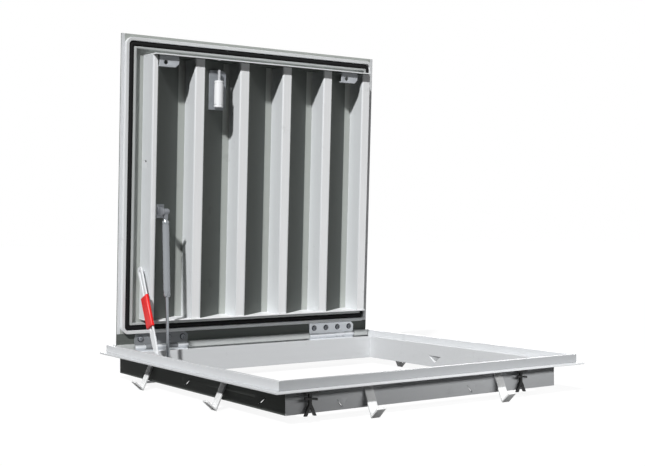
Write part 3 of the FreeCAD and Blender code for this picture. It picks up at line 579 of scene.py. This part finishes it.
class Graph:
    """Small builder for a Geometry Nodes tree with named inputs."""

    def __init__(self, name: str, **inputs: str) -> None:
        """Starts a tree with a geometry input and output.

        Args:
            name: of the tree.
            inputs: name and kind of value of each further input.
        """
        self.tree = bpy.data.node_groups.new(name, "GeometryNodeTree")
        new_socket = self.tree.interface.new_socket
        new_socket(name="Geometry", in_out="INPUT", socket_type="NodeSocketGeometry")
        new_socket(name="Geometry", in_out="OUTPUT", socket_type="NodeSocketGeometry")
        for label, kind in inputs.items():
            new_socket(name=label, in_out="INPUT", socket_type="NodeSocket" + kind)
        self.source = add_node(self.tree, "NodeGroupInput")
        self.sink = add_node(self.tree, "NodeGroupOutput")

    def finish(self, last: Node, output: str) -> None:
        """Ends the tree in Realize Instances and Set Material.

        Args:
            last: node that gives the result.
            output: of that node.
        """
        realize = add_node(self.tree, "GeometryNodeRealizeInstances")
        paint = add_node(self.tree, "GeometryNodeSetMaterial")
        connect(self.tree, (last, output, realize, "Geometry"), (realize, "Geometry", paint, "Geometry"),
                (self.source, "Material", paint, "Material"), (paint, "Geometry", self.sink, "Geometry"))

    def apply(self, made: Object, values: dict[str, object]) -> Mesh:
        """Runs the tree on an object, which is then removed.

        Args:
            made: the object whose mesh goes in.
            values: input name to value.

        Returns:
            The plain mesh that comes out.
        """
        modifier = made.modifiers.new("nodes", "NODES")
        modifier.node_group = self.tree
        for item in self.tree.interface.items_tree:
            if item.item_type == "SOCKET" and item.in_out == "INPUT" and item.name in values:
                modifier[item.identifier] = values[item.name]
        mesh = evaluated_mesh(made, made.name)
        bpy.data.objects.remove(made)
        return mesh


def scatter_graph() -> Graph:
    """Tree that sets one shape on every point of a mesh, turned as asked.

    Returns:
        The tree, with the inputs Shape, Turn and Material.
    """
    graph = Graph("set_on_points", Shape="Object", Turn="Vector", Material="Material")
    info = add_node(graph.tree, "GeometryNodeObjectInfo")
    place = add_node(graph.tree, "GeometryNodeInstanceOnPoints")
    connect(graph.tree, (graph.source, "Shape", info, "Object"), (graph.source, "Geometry", place, "Points"),
            (info, "Geometry", place, "Instance"), (graph.source, "Turn", place, "Rotation"))
    graph.finish(place, "Instances")
    return graph


def sweep_graph() -> Graph:
    """Tree that sweeps a flat outline along the edges of a mesh path.

    Returns:
        The tree, with the inputs Outline and Material.
    """
    graph = Graph("sweep_outline", Outline="Object", Material="Material")
    info = add_node(graph.tree, "GeometryNodeObjectInfo")
    path = add_node(graph.tree, "GeometryNodeMeshToCurve")
    outline = add_node(graph.tree, "GeometryNodeMeshToCurve")
    sweep = add_node(graph.tree, "GeometryNodeCurveToMesh")
    upright = add_node(graph.tree, "GeometryNodeSetCurveNormal", mode="Z_UP")
    connect(graph.tree, (graph.source, "Outline", info, "Object"), (info, "Geometry", outline, "Mesh"),
            (graph.source, "Geometry", path, "Mesh"), (path, "Curve", upright, "Curve"),
            (upright, "Curve", sweep, "Curve"), (outline, "Curve", sweep, "Profile Curve"))
    graph.finish(sweep, "Mesh")
    return graph


def circle(radius: float, height: float, steps: int) -> list[Vector]:
    """Points round the Z axis, in metres from sizes in millimetres."""
    angles = [2 * math.pi * i / steps for i in range(steps)]
    return [Vector((radius * math.cos(a), radius * math.sin(a), height)) * MM for a in angles]


def spaced(start: float, stop: float, pitch: float) -> list[float]:
    """Values from start in steps of the pitch, short of stop."""
    return [start + pitch * i for i in range(math.ceil((stop - start) / pitch))]


def loft(rings: Sequence[Sequence[Vector]]) -> BMesh:
    """Closed shape through rings of as many points each.

    Args:
        rings: from the underside to the top, in metres.

    Returns:
        The shape.
    """
    shape = bmesh.new()
    rows = [[shape.verts.new(point) for point in ring] for ring in rings]
    for low, high in zip(rows, rows[1:]):
        for i in range(len(low)):
            j = (i + 1) % len(low)
            shape.faces.new((low[i], low[j], high[j], high[i]))
    shape.faces.new(rows[-1])
    shape.faces.new(rows[0][::-1])
    return shape


def lathe(profile: Sequence[tuple[float, float]], start: Vector, axis: Vector, steps: int = 32) -> BMesh:
    """Turned solid from a list of (distance along the axis, radius), in millimetres.

    Args:
        profile: from one end to the other; a radius of 0 closes an end.
        start: place of distance 0, in metres.
        axis: direction of the turning axis.
        steps: round the axis.

    Returns:
        The solid with its faces outwards.
    """
    shape = bmesh.new()
    place = Matrix.Translation(start) @ axis.normalized().to_track_quat("Z", "Y").to_matrix().to_4x4()
    rings: list[list[BMVert]] = []
    for along, radius in profile:
        ring = circle(radius, along, steps if radius > 0 else 1)
        rings.append([shape.verts.new(place @ point) for point in ring])
    for low, high in zip(rings, rings[1:]):
        for i in range(steps):
            a, b = low[i % len(low)], low[(i + 1) % len(low)]
            c, d = high[(i + 1) % len(high)], high[i % len(high)]
            verts = [v for n, v in enumerate((a, b, c, d)) if v not in (a, b, c, d)[:n]]
            if len(verts) > 2:
                shape.faces.new(verts)
    bmesh.ops.recalc_face_normals(shape, faces=shape.faces)
    return shape


def groove(start: float, width: float, radius: float, depth: float, ramp: float = 0.6) -> list[tuple[float, float]]:
    """Points of a turned profile that cut one ring into its surface, with a ramp on each side."""
    return [(start, radius), (start + ramp, radius - depth), (start + width - ramp, radius - depth),
            (start + width, radius)]


@dataclass
class LidDress:
    """Skin, ribs, seal and keepers of the lid."""

    rounds: tuple[tuple[str, float], ...] = (
        ("lid_skin", 1.0), ("edge_lip", 1.6), ("gasket_retainer", 1.2), ("free_edge_header", 1.0),
        ("hinge_side_header", 1.0), ("lock_plate", 0.8), ("keeper_left", 0.8), ("keeper_right", 0.8),
        ("strut_head_bracket", 0.8), ("edge_bars", 1.2))
    rib_count: int = 6
    rib_round: float = 0.8
    rib_fold: float = 4.0
    foot_depth: float = 9.5
    crest_facing: float = 0.97
    flank_facing: float = 0.3
    flank_lean: float = 0.2
    skin_half: float = 490.25
    skin_front: float = 1001.5
    lip_half: float = 479.0
    lip_back: float = 46.25
    header_end: float = 425.0
    header_trim: float = 9.0
    tread_pitch: float = 28.0
    tread_start: float = 26.0
    tread_degrees: float = 45.0
    edge_band: float = 10.0
    lozenge: tuple[float, float, float] = (22.0, 6.5, 1.2)
    lozenge_top: tuple[float, float] = (0.6, 0.45)
    lozenge_root: float = -0.2
    seal_half: float = 459.5
    seal_back: float = 65.75
    seal_front: float = 970.75
    seal_radius: float = 9.0
    seal_width: float = 17.0
    seal_face: float = 17.7
    seal_root: float = 5.2
    bulb_start: float = 0.55
    bulb_width: float = 0.92
    bulb_step: int = 15
    seal_weld: float = 1e-6
    seal_degrees: float = 50.0
    slot_x: tuple[float, float] = (-420.0, -405.0)
    slot_s: tuple[float, float] = (580.0, 602.0)
    slot_w: tuple[float, float] = (27.0, 41.0)
    slot_stroke: float = 4.5

    def build(self, soft: Softener) -> None:
        """Dresses the lid.

        Args:
            soft: makes the rounded copies.
        """
        plates = {node: soft.round_edges(node, Body.LID, width) for node, width in self.rounds}
        inward = LID.way(w=1.0)
        # Painted highlight: the lip's sides get the bright finish.
        tone_faces(plates["edge_lip"], (Finishes.BRIGHT_AND_PAINTED_HIGHLIGHT,), lambda face: int(abs(face.normal.dot(inward)) < SIDEWAYS))
        self.tone_skin(plates["lid_skin"])
        self.trim_header(plates["free_edge_header"])
        slot = self.wall_slot()
        for index in range(1, self.rib_count + 1):
            self.tone_rib(soft.round_edges("rib_%d" % index, Body.LID, self.rib_round, fold_mm=self.rib_fold,
                                           cutter=slot if index == 1 else None))
        bpy.data.objects.remove(slot)
        self.tread()
        self.seal()

    def wall_slot(self) -> Object:
        """Hooked slot that is cut through the steep wall of the first rib.

        Returns:
            The shape to cut away.
        """
        (s0, s1), (w0, w1), stroke = self.slot_s, self.slot_w, self.slot_stroke
        outline = [(s0, w1 - stroke), (s0, w1), (s1, w1), (s1, w0), (s1 - stroke, w0), (s1 - stroke, w1 - stroke)]
        shape = loft([[LID.opened(x, s, w) for s, w in outline] for x in self.slot_x])
        bmesh.ops.recalc_face_normals(shape, faces=shape.faces)
        return add_object("slot_cutter", shape_mesh("slot_cutter", shape))

    def trim_header(self, header: Object) -> None:
        """Painted shade on the underside and a shorter end on the header along the free edge.

        Args:
            header: its rounded copy.
        """
        # Painted shade: the header's underside gets the dark SHADED tone.
        tone_side(header, LID.way(s=-1.0), Finishes.SHADED)
        for vertex in header.data.vertices:
            if vertex.co.x > self.header_end * MM:
                vertex.co.x -= self.header_trim * MM

    def tone_skin(self, skin: Object) -> None:
        """Darker SHADED tone on the sides, a painted shadow of the ribs and headers on the hinge strip, and a light
        border beside the lip, on the skin.

        Args:
            skin: its rounded copy.
        """
        inward, across = LID.way(w=1.0), Vector((1.0, 0.0, 0.0))
        shape = mesh_shape(skin.data)
        for place, normal in ((LID.opened(0.0, self.lip_back, 0.0), LID.way(s=1.0)),
                              (LID.opened(-self.lip_half, 0.0, 0.0), across),
                              (LID.opened(self.lip_half, 0.0, 0.0), across)):
            faces = [face for face in shape.faces if face.normal.dot(inward) > FACING]
            edges = {edge for face in faces for edge in face.edges}
            verts = {vert for face in faces for vert in face.verts}
            bmesh.ops.bisect_plane(shape, geom=[*verts, *edges, *faces], plane_co=place, plane_no=normal)
        shape.to_mesh(skin.data)
        shape.free()
        home = LID.opening().inverted()

        def pick(face: MeshPolygon) -> int:
            """Finish of one face of the skin.

            Args:
                face: of the skin.

            Returns:
                Its place among the finishes.
            """
            facing, spot = face.normal.dot(inward), home @ face.center / MM
            if abs(facing) < SIDEWAYS:
                return 1
            if facing <= FACING:
                return 0
            # Painted shadow: the hinge strip gets the dark SHADED tone where the ribs and headers shade it.
            return 1 if LID.axis_y - spot.y < self.lip_back else 2 * int(abs(spot.x) > self.lip_half)

        tone_faces(skin, (Finishes.SHADED, Finishes.PLATE), pick)

    def tone_rib(self, rib: Object) -> None:
        """Tones of one rib: a painted highlight on the crest, painted shade on the flank, and the skin's tone on its
        flat foot.

        Args:
            rib: its rounded copy.
        """
        inward = LID.way(w=1.0)
        foot = LID.opened(0.0, 0.0, self.foot_depth).dot(inward)

        def pick(face: MeshPolygon) -> int:
            """Finish of one face of the rib.

            Args:
                face: of the rib.

            Returns:
                Its place among the finishes.
            """
            facing = face.normal.dot(inward)
            if face.center.dot(inward) < foot:
                return 3
            if facing > self.crest_facing:
                return 1
            return 2 * int(abs(facing) > self.flank_facing and face.normal.x * facing > self.flank_lean)

        tone_faces(rib, (Finishes.PAINTED_HIGHLIGHT_CREST, Finishes.PAINTED_SHADE_FLANK, Finishes.SKIN), pick)

    def tread(self) -> None:
        """Raised lozenges in two crossing directions on the outer face of the skin."""
        long, wide, high = self.lozenge
        shrink_x, shrink_y = self.lozenge_top
        ring = [(-long / 2, 0), (-long / 4, -wide / 2), (long / 4, -wide / 2), (long / 2, 0),
                (long / 4, wide / 2), (-long / 4, wide / 2)]
        source = add_object("tread_lozenge", shape_mesh("tread_lozenge", loft([
            [Vector((x, y, self.lozenge_root)) * MM for x, y in ring],
            [Vector((shrink_x * x, shrink_y * y, high)) * MM for x, y in ring]])))
        joined = bmesh.new()
        half = self.tread_pitch / 2
        edge = self.skin_half - self.edge_band
        graph = scatter_graph()
        for turn, offset in ((self.tread_degrees, 0.0), (-self.tread_degrees, half)):
            columns = spaced(half / 2 + offset - edge, edge, self.tread_pitch)
            rows = spaced(self.tread_start + offset, self.skin_front - self.edge_band, self.tread_pitch)
            grid = wire_object("tread_points", [LID.shut(x, s, 0.0) for x in columns for s in rows])
            mesh = graph.apply(grid, {"Shape": source, "Turn": (0.0, 0.0, math.radians(turn)),
                                      "Material": Finishes.SKIN.material()})
            joined.from_mesh(mesh)
            bpy.data.meshes.remove(mesh)
        bpy.data.objects.remove(source)
        to_object("tread_pattern", joined, Finishes.SKIN, Body.LID, LID.opening())

    def seal_path(self, corner_steps: int = 4) -> list[Vector]:
        """Centre line of the seal on the shut lid, with rounded corners.

        Args:
            corner_steps: in each corner.

        Returns:
            The points of the closed line.
        """
        bends = ((self.seal_half, self.seal_front, 0), (-self.seal_half, self.seal_front, 90),
                 (-self.seal_half, self.seal_back, 180), (self.seal_half, self.seal_back, 270))
        path = []
        for x, s, start in bends:
            cx = x - math.copysign(self.seal_radius, x)
            cs = s - self.seal_radius if s == self.seal_front else s + self.seal_radius
            for step in range(corner_steps + 1):
                angle = math.radians(start + 90.0 * step / corner_steps)
                path.append(LID.shut(cx + self.seal_radius * math.cos(angle),
                                     cs + self.seal_radius * math.sin(angle), self.seal_root))
        return path

    def seal(self) -> None:
        """Black seal: a flat root with a rounded bulb that meets the sealing edge."""
        half, deep = self.seal_width / 2, self.seal_face - self.seal_root
        low = self.bulb_start * deep
        outline = [(-half, 0.0), (-half, low)]
        for degrees in range(self.bulb_step, 180, self.bulb_step):
            angle = math.radians(degrees)
            outline.append((-half * self.bulb_width * math.cos(angle), low + (deep - low) * math.sin(angle)))
        outline += [(half, low), (half, 0.0)]
        profile = wire_object("seal_outline", [Vector((x, y, 0.0)) * MM for x, y in outline], closed=True)
        path = wire_object("seal_path", self.seal_path(), closed=True)
        shape = mesh_shape(sweep_graph().apply(path, {"Outline": profile, "Material": Finishes.RUBBER.material()}))
        bpy.data.objects.remove(profile)
        bmesh.ops.remove_doubles(shape, verts=shape.verts, dist=self.seal_weld)
        bmesh.ops.recalc_face_normals(shape, faces=shape.faces)
        made = to_object("seal_bulb", shape, Finishes.RUBBER, Body.LID, LID.opening(), self.seal_degrees)
        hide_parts("gasket")


@dataclass
class HingeDress:
    """Leaves and screws of the two hinges."""

    centre: float = 335.0
    pitch: float = 50.0
    per_leaf: int = 4
    row: float = 27.5
    face: float = 10.0
    head_radius: float = 10.0
    head_height: float = 5.0
    head_rim: float = 0.12
    head_dome: tuple[int, ...] = (20, 40, 58)
    head_recess: tuple[tuple[float, float], ...] = ((0.40, 0.97), (0.36, 0.55))
    steps: int = 20
    leaf_round: float = 0.7
    bolt_round: float = 0.5

    def build(self, soft: Softener) -> None:
        """Dresses both hinges.

        Args:
            soft: makes the rounded copies.
        """
        for side in ("left", "right"):
            soft.round_edges("hinge_lid_leaf_" + side, Body.LID, self.leaf_round)
            soft.round_edges("hinge_frame_leaf_" + side, Body.FRAME, self.leaf_round)
        self.screws()
        soft.round_edges("hinge_frame_screws", Body.FRAME, self.bolt_round)

    def head(self) -> Object:
        """Domed head with a rim and a round recess, standing on Z = 0.

        Returns:
            The head.
        """
        radius, height, rim = self.head_radius, self.head_height, self.head_rim
        levels = [(radius, 0.0), (radius, rim * height)]
        levels += [(radius * math.cos(math.radians(a)), height * (rim + (1.0 - rim) * math.sin(math.radians(a))))
                   for a in self.head_dome]
        levels += [(across * radius, up * height) for across, up in self.head_recess]
        rings = [circle(ring_radius, z, self.steps) for ring_radius, z in levels]
        return add_object("dome_head", shape_mesh("dome_head", loft(rings)))

    def screws(self) -> None:
        """Domed screws of both lid leaves, as one object."""
        middle = (self.per_leaf - 1) / 2
        spots = [LID.shut(side * self.centre + self.pitch * (i - middle), self.row, self.face)
                 for side in (-1, 1) for i in range(self.per_leaf)]
        source = self.head()
        mesh = scatter_graph().apply(wire_object("screw_points", spots), {
            "Shape": source, "Turn": (math.pi, 0.0, 0.0), "Material": Finishes.SCREW.material()})
        bpy.data.objects.remove(source)
        made = to_object("hinge_lid_domes", mesh_shape(mesh), Finishes.SCREW, Body.LID, LID.opening())
        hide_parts("hinge_lid_screws")
        # Painted highlight: the heads' faces that point straight out get a lighter grey.
        tone_side(made, LID.way(w=1.0), Finishes.LOCK_SHADE_AND_DOME_HIGHLIGHT, FACING)


@dataclass
class FrameDress:
    """Coaming frame, straps and clamps."""

    upstand_round: float = 1.2
    flange_round: float = 0.8
    coaming_round: float = 0.6
    strap_round: float = 0.9
    side_facing: float = 0.05
    rounds: tuple[tuple[str, float], ...] = (
        ("clamp_bodies", 0.9), ("clamp_wing_nuts", 0.8), ("strut_foot_bracket", 0.7), ("arm_bracket", 0.7))

    def build(self, soft: Softener) -> None:
        """Dresses the frame.

        Args:
            soft: makes the rounded copies.
        """
        for side in ("left", "right", "front", "back"):
            soft.round_edges("upstand_" + side, Body.FRAME, self.upstand_round)
            soft.round_edges("flange_" + side, Body.FRAME, self.flange_round)
            coaming = soft.round_edges("coaming_" + side, Body.FRAME, self.coaming_round)
            # Painted shade: the left coaming's outer face gets the dark SHADED tone, as it lies in the flange's
            # shadow.
            if side == "left":
                tone_side(coaming, Vector((-1.0, 0.0, 0.0)), Finishes.SHADED, self.side_facing)
            if side != "back":
                soft.round_edges("anchors_" + side, Body.FRAME, self.strap_round)
        for node, width in self.rounds:
            soft.round_edges(node, Body.FRAME, width)


@dataclass
class ArmDress:
    """Hold-open arm and its grip."""

    arm_round: float = 0.8
    grip_round: float = 1.6

    def build(self, soft: Softener) -> None:
        """Dresses the arm."""
        soft.round_edges("hold_open_arm", Body.ARM, self.arm_round)
        soft.round_edges("arm_grip", Body.ARM, self.grip_round, segments=3)


@dataclass
class StrutDress:
    """Tube of the gas strut, on the line from its head to its foot, and its eyes."""

    foot: tuple[float, float, float] = (-375.7, 351.25, 26.0)
    head: tuple[float, float, float] = (-375.7, 367.249, 544.370)
    tube_radius: float = 11.0
    neck: float = 24.0
    length: float = 246.0
    shoulder: tuple[tuple[float, float], ...] = ((0.0, 0.0), (0.0, 5.5), (1.5, 7.0), (4.0, 7.6), (5.0, 9.6))
    shoulder_end: float = 8.0
    crown: tuple[tuple[float, float], ...] = ((5.0, 0.0), (1.5, 1.6), (0.0, 3.0))
    crimp_ends: tuple[float, float] = (14.0, 17.0)
    crimp_width: float = 3.2
    crimp_depth: float = 0.9
    rod_bore: float = 5.3
    mouth: float = 20.0
    eye_round: float = 0.8

    def build(self, soft: Softener) -> None:
        """Turns the tube with its crimped ends, and rounds the eyes.

        Args:
            soft: makes the rounded copies.
        """
        top, low = Vector(self.head) * MM, Vector(self.foot) * MM
        along = (low - top).normalized()
        r, end = self.tube_radius, self.length
        profile = [*self.shoulder, (self.shoulder_end, r)]
        for start in (self.crimp_ends[0], end - self.crimp_ends[1]):
            profile += groove(start, self.crimp_width, r, self.crimp_depth)
        profile += [(end - back, r - drop) for back, drop in self.crown]
        profile += [(end, self.rod_bore), (end - self.mouth, self.rod_bore), (end - self.mouth, 0.0)]
        tube = to_object("strut_tube_turned", lathe(profile, top + along * (self.neck * MM), along),
                         Finishes.TUBE, Body.CYLINDER)
        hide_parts("strut_cylinder", "strut_gland")
        for node, body in (("strut_head_eye", Body.CYLINDER), ("strut_foot_eye", Body.ROD)):
            soft.round_edges(node, body, self.eye_round)


@dataclass
class LockDress:
    """Draw-bolt barrel with its end rings."""

    x: float = -182.0
    depth: float = 83.0
    start: float = 781.0
    end: float = 868.0
    radius: float = 15.0
    bore: float = 4.7
    bore_depth: float = 50.0
    bevel: float = 1.5
    ring_start: float = 7.0
    ring_width: float = 3.0
    ring_depth: float = 0.8
    steps: int = 40

    def build(self, _soft: Softener) -> None:
        """Turns the barrel on the lid.

        Args:
            _soft: not used, as nothing here is a rounded copy.
        """
        low = LID.opened(self.x, self.start, self.depth)
        along = LID.opened(self.x, self.end, self.depth) - low
        size, r, bevel = self.end - self.start, self.radius, self.bevel
        profile = [(0.0, 0.0), (0.0, r - bevel), (bevel, r)]
        for start in (self.ring_start, size - self.ring_start - self.ring_width):
            profile += groove(start, self.ring_width, r, self.ring_depth)
        profile += [(size - bevel, r), (size, r - bevel), (size, self.bore), (size - self.bore_depth, self.bore),
                    (size - self.bore_depth, 0.0)]
        barrel = to_object("bolt_barrel_turned", lathe(profile, low, along, self.steps), Finishes.BARREL, Body.LID)
        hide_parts("lock_barrel")


@dataclass
class Studio:
    """Floor, lamps, world and camera."""

    focal_px: float = 1081.5
    frame_px: int = 645
    sensor_mm: float = 36.0
    clip_end: float = 200.0
    yaw: float = 33.655
    pitch: float = 0.069
    roll: float = -0.271
    eye: tuple[float, float, float] = (-1853.8, -2746.35, 470.2)
    key_from: tuple[float, float, float] = (-1.0, -0.85, 1.0)
    key_strength: float = 3.9
    key_angle: float = 3.0
    back_from: tuple[float, float, float] = (0.6, 0.75, 0.35)
    back_strength: float = 2.4
    back_angle: float = 40.0
    skirt_light: tuple[float, float, float] = (350.0, -1150.0, 330.0)
    skirt_light_size: tuple[float, float] = (1.2, 0.08)
    skirt_light_watts: float = 3.8
    ambient: float = 0.025
    sky: tuple[float, float, float] = (0.97, 0.98, 1.0)
    floor_half: float = 40.0
    floor_bounce: float = 0.03
    floor_matt: float = 0.9
    floor_glow: float = 1.05
    floor_glow_share: float = 0.86

    def build(self) -> None:
        """Makes the stage, lamps, world and camera."""
        self.floor()
        self.sun("key_lamp", self.key_from, self.key_strength, self.key_angle)
        self.sun("back_lamp", self.back_from, self.back_strength, self.back_angle)
        self.skirt_fill()
        self.world()
        self.camera()
        bpy.context.scene.view_settings.view_transform = "Standard"

    def floor(self) -> None:
        """Pale floor that keeps the part's shadow and gives little light back."""
        mesh = bpy.data.meshes.new("floor")
        size = self.floor_half
        mesh.from_pydata([(-size, -size, 0), (size, -size, 0), (size, size, 0), (-size, size, 0)], [],
                         [(0, 1, 2, 3)])
        made = add_object("floor", mesh)
        paint = bpy.data.materials.new("pale_floor")
        paint.use_nodes = True
        tree = paint.node_tree
        tree.nodes.clear()
        bounce = add_node(tree, "ShaderNodeBsdfDiffuse", {"Color": (*[self.floor_bounce] * 3, 1.0)})
        matt = add_node(tree, "ShaderNodeBsdfDiffuse", {"Color": (*[self.floor_matt] * 3, 1.0)})
        glow = add_node(tree, "ShaderNodeEmission", {"Strength": self.floor_glow})
        pale = add_node(tree, "ShaderNodeMixShader", {"Fac": self.floor_glow_share})
        seen = add_node(tree, "ShaderNodeMixShader")
        sink = add_node(tree, "ShaderNodeOutputMaterial")
        connect(tree, (matt, 0, pale, 1), (glow, 0, pale, 2), (self.seen_rays(tree), 0, seen, "Fac"),
                (bounce, 0, seen, 1), (pale, 0, seen, 2), (seen, 0, sink, "Surface"))
        mesh.materials.append(paint)

    @staticmethod
    def seen_rays(tree: NodeTree) -> Node:
        """Mask of the rays that see the background.

        Args:
            tree: that gets the nodes.

        Returns:
            Node whose output is 1 for camera, glossy and transmission rays.
        """
        rays = add_node(tree, "ShaderNodeLightPath")
        first = add_node(tree, "ShaderNodeMath", operation="MAXIMUM")
        second = add_node(tree, "ShaderNodeMath", operation="MAXIMUM")
        connect(tree, (rays, "Is Camera Ray", first, 0), (rays, "Is Glossy Ray", first, 1),
                (first, 0, second, 0), (rays, "Is Transmission Ray", second, 1))
        return second

    @staticmethod
    def sun(name: str, towards: tuple[float, float, float], strength: float, angle: float) -> None:
        """Distant lamp.

        Args:
            name: of the lamp.
            towards: direction from the object to the lamp.
            strength: in watts per square metre.
            angle: apparent size in degrees, which softens the shadows.
        """
        data = bpy.data.lights.new(name, "SUN")
        data.energy = strength
        data.angle = math.radians(angle)
        made = add_object(name, data)
        made.rotation_euler = Vector(towards).to_track_quat("Z", "Y").to_euler()

    def skirt_fill(self) -> None:
        """Narrow strip lamp before the front coaming, so high that the flange shades the coaming's top."""
        data = bpy.data.lights.new("skirt_lamp", "AREA")
        data.shape = "RECTANGLE"
        data.size, data.size_y = self.skirt_light_size
        data.energy = self.skirt_light_watts
        made = add_object("skirt_lamp", data)
        made.location = Vector(self.skirt_light) * MM
        made.rotation_euler = Vector((0.0, -1.0, 0.0)).to_track_quat("Z", "Y").to_euler()
        made.visible_camera = False
        made.visible_glossy = False

    def world(self) -> None:
        """White backdrop with a low even light."""
        world = bpy.data.worlds.new("studio")
        bpy.context.scene.world = world
        world.use_nodes = True
        tree = world.node_tree
        tree.nodes.clear()
        light = add_node(tree, "ShaderNodeBackground", {"Color": (*self.sky, 1.0), "Strength": self.ambient})
        white = add_node(tree, "ShaderNodeBackground", {"Color": (1.0, 1.0, 1.0, 1.0), "Strength": 1.0})
        mix = add_node(tree, "ShaderNodeMixShader")
        sink = add_node(tree, "ShaderNodeOutputWorld")
        connect(tree, (self.seen_rays(tree), 0, mix, "Fac"), (light, 0, mix, 1), (white, 0, mix, 2),
                (mix, 0, sink, "Surface"))

    def camera(self) -> None:
        """Camera at the photograph's place and angle."""
        data = bpy.data.cameras.new("camera")
        data.sensor_width = self.sensor_mm
        data.lens = self.focal_px / self.frame_px * self.sensor_mm
        data.clip_end = self.clip_end
        made = add_object("camera", data)
        yaw, pitch, roll = (math.radians(a) for a in (self.yaw, self.pitch, self.roll))
        ahead = Vector((math.sin(yaw) * math.cos(pitch), math.cos(yaw) * math.cos(pitch), math.sin(pitch)))
        right = Vector((math.cos(yaw), -math.sin(yaw), 0.0))
        up = right.cross(ahead)
        side = right * math.cos(roll) + up * math.sin(roll)
        top = up * math.cos(roll) - right * math.sin(roll)
        turn = Matrix((side, top, -ahead)).transposed().to_4x4()
        made.matrix_world = Matrix.Translation(Vector(self.eye) * MM) @ turn
        bpy.context.scene.camera = made


def paint_nodes(nodes: dict[str, Object]) -> None:
    """Gives every CAD node its finish.

    Args:
        nodes: the CAD nodes by name.
    """
    for name, node in nodes.items():
        finish = finish_of(name)
        if not node.data.materials:
            node.data.materials.append(finish.material())
        for index in range(len(node.data.materials)):
            node.data.materials[index] = finish.material()


def main() -> None:
    """Loads the frame, dresses it and sets up the studio."""
    logging.basicConfig(level=logging.INFO, format="%(name)s: %(message)s")
    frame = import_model()
    nodes = frame["nodes"]
    paint_nodes(nodes)
    soft = Softener(nodes)
    for dress in (FrameDress(), LidDress(), HingeDress(), StrutDress(), LockDress(), ArmDress()):
        dress.build(soft)
    Studio().build()


if __name__ == "__main__":
    main()
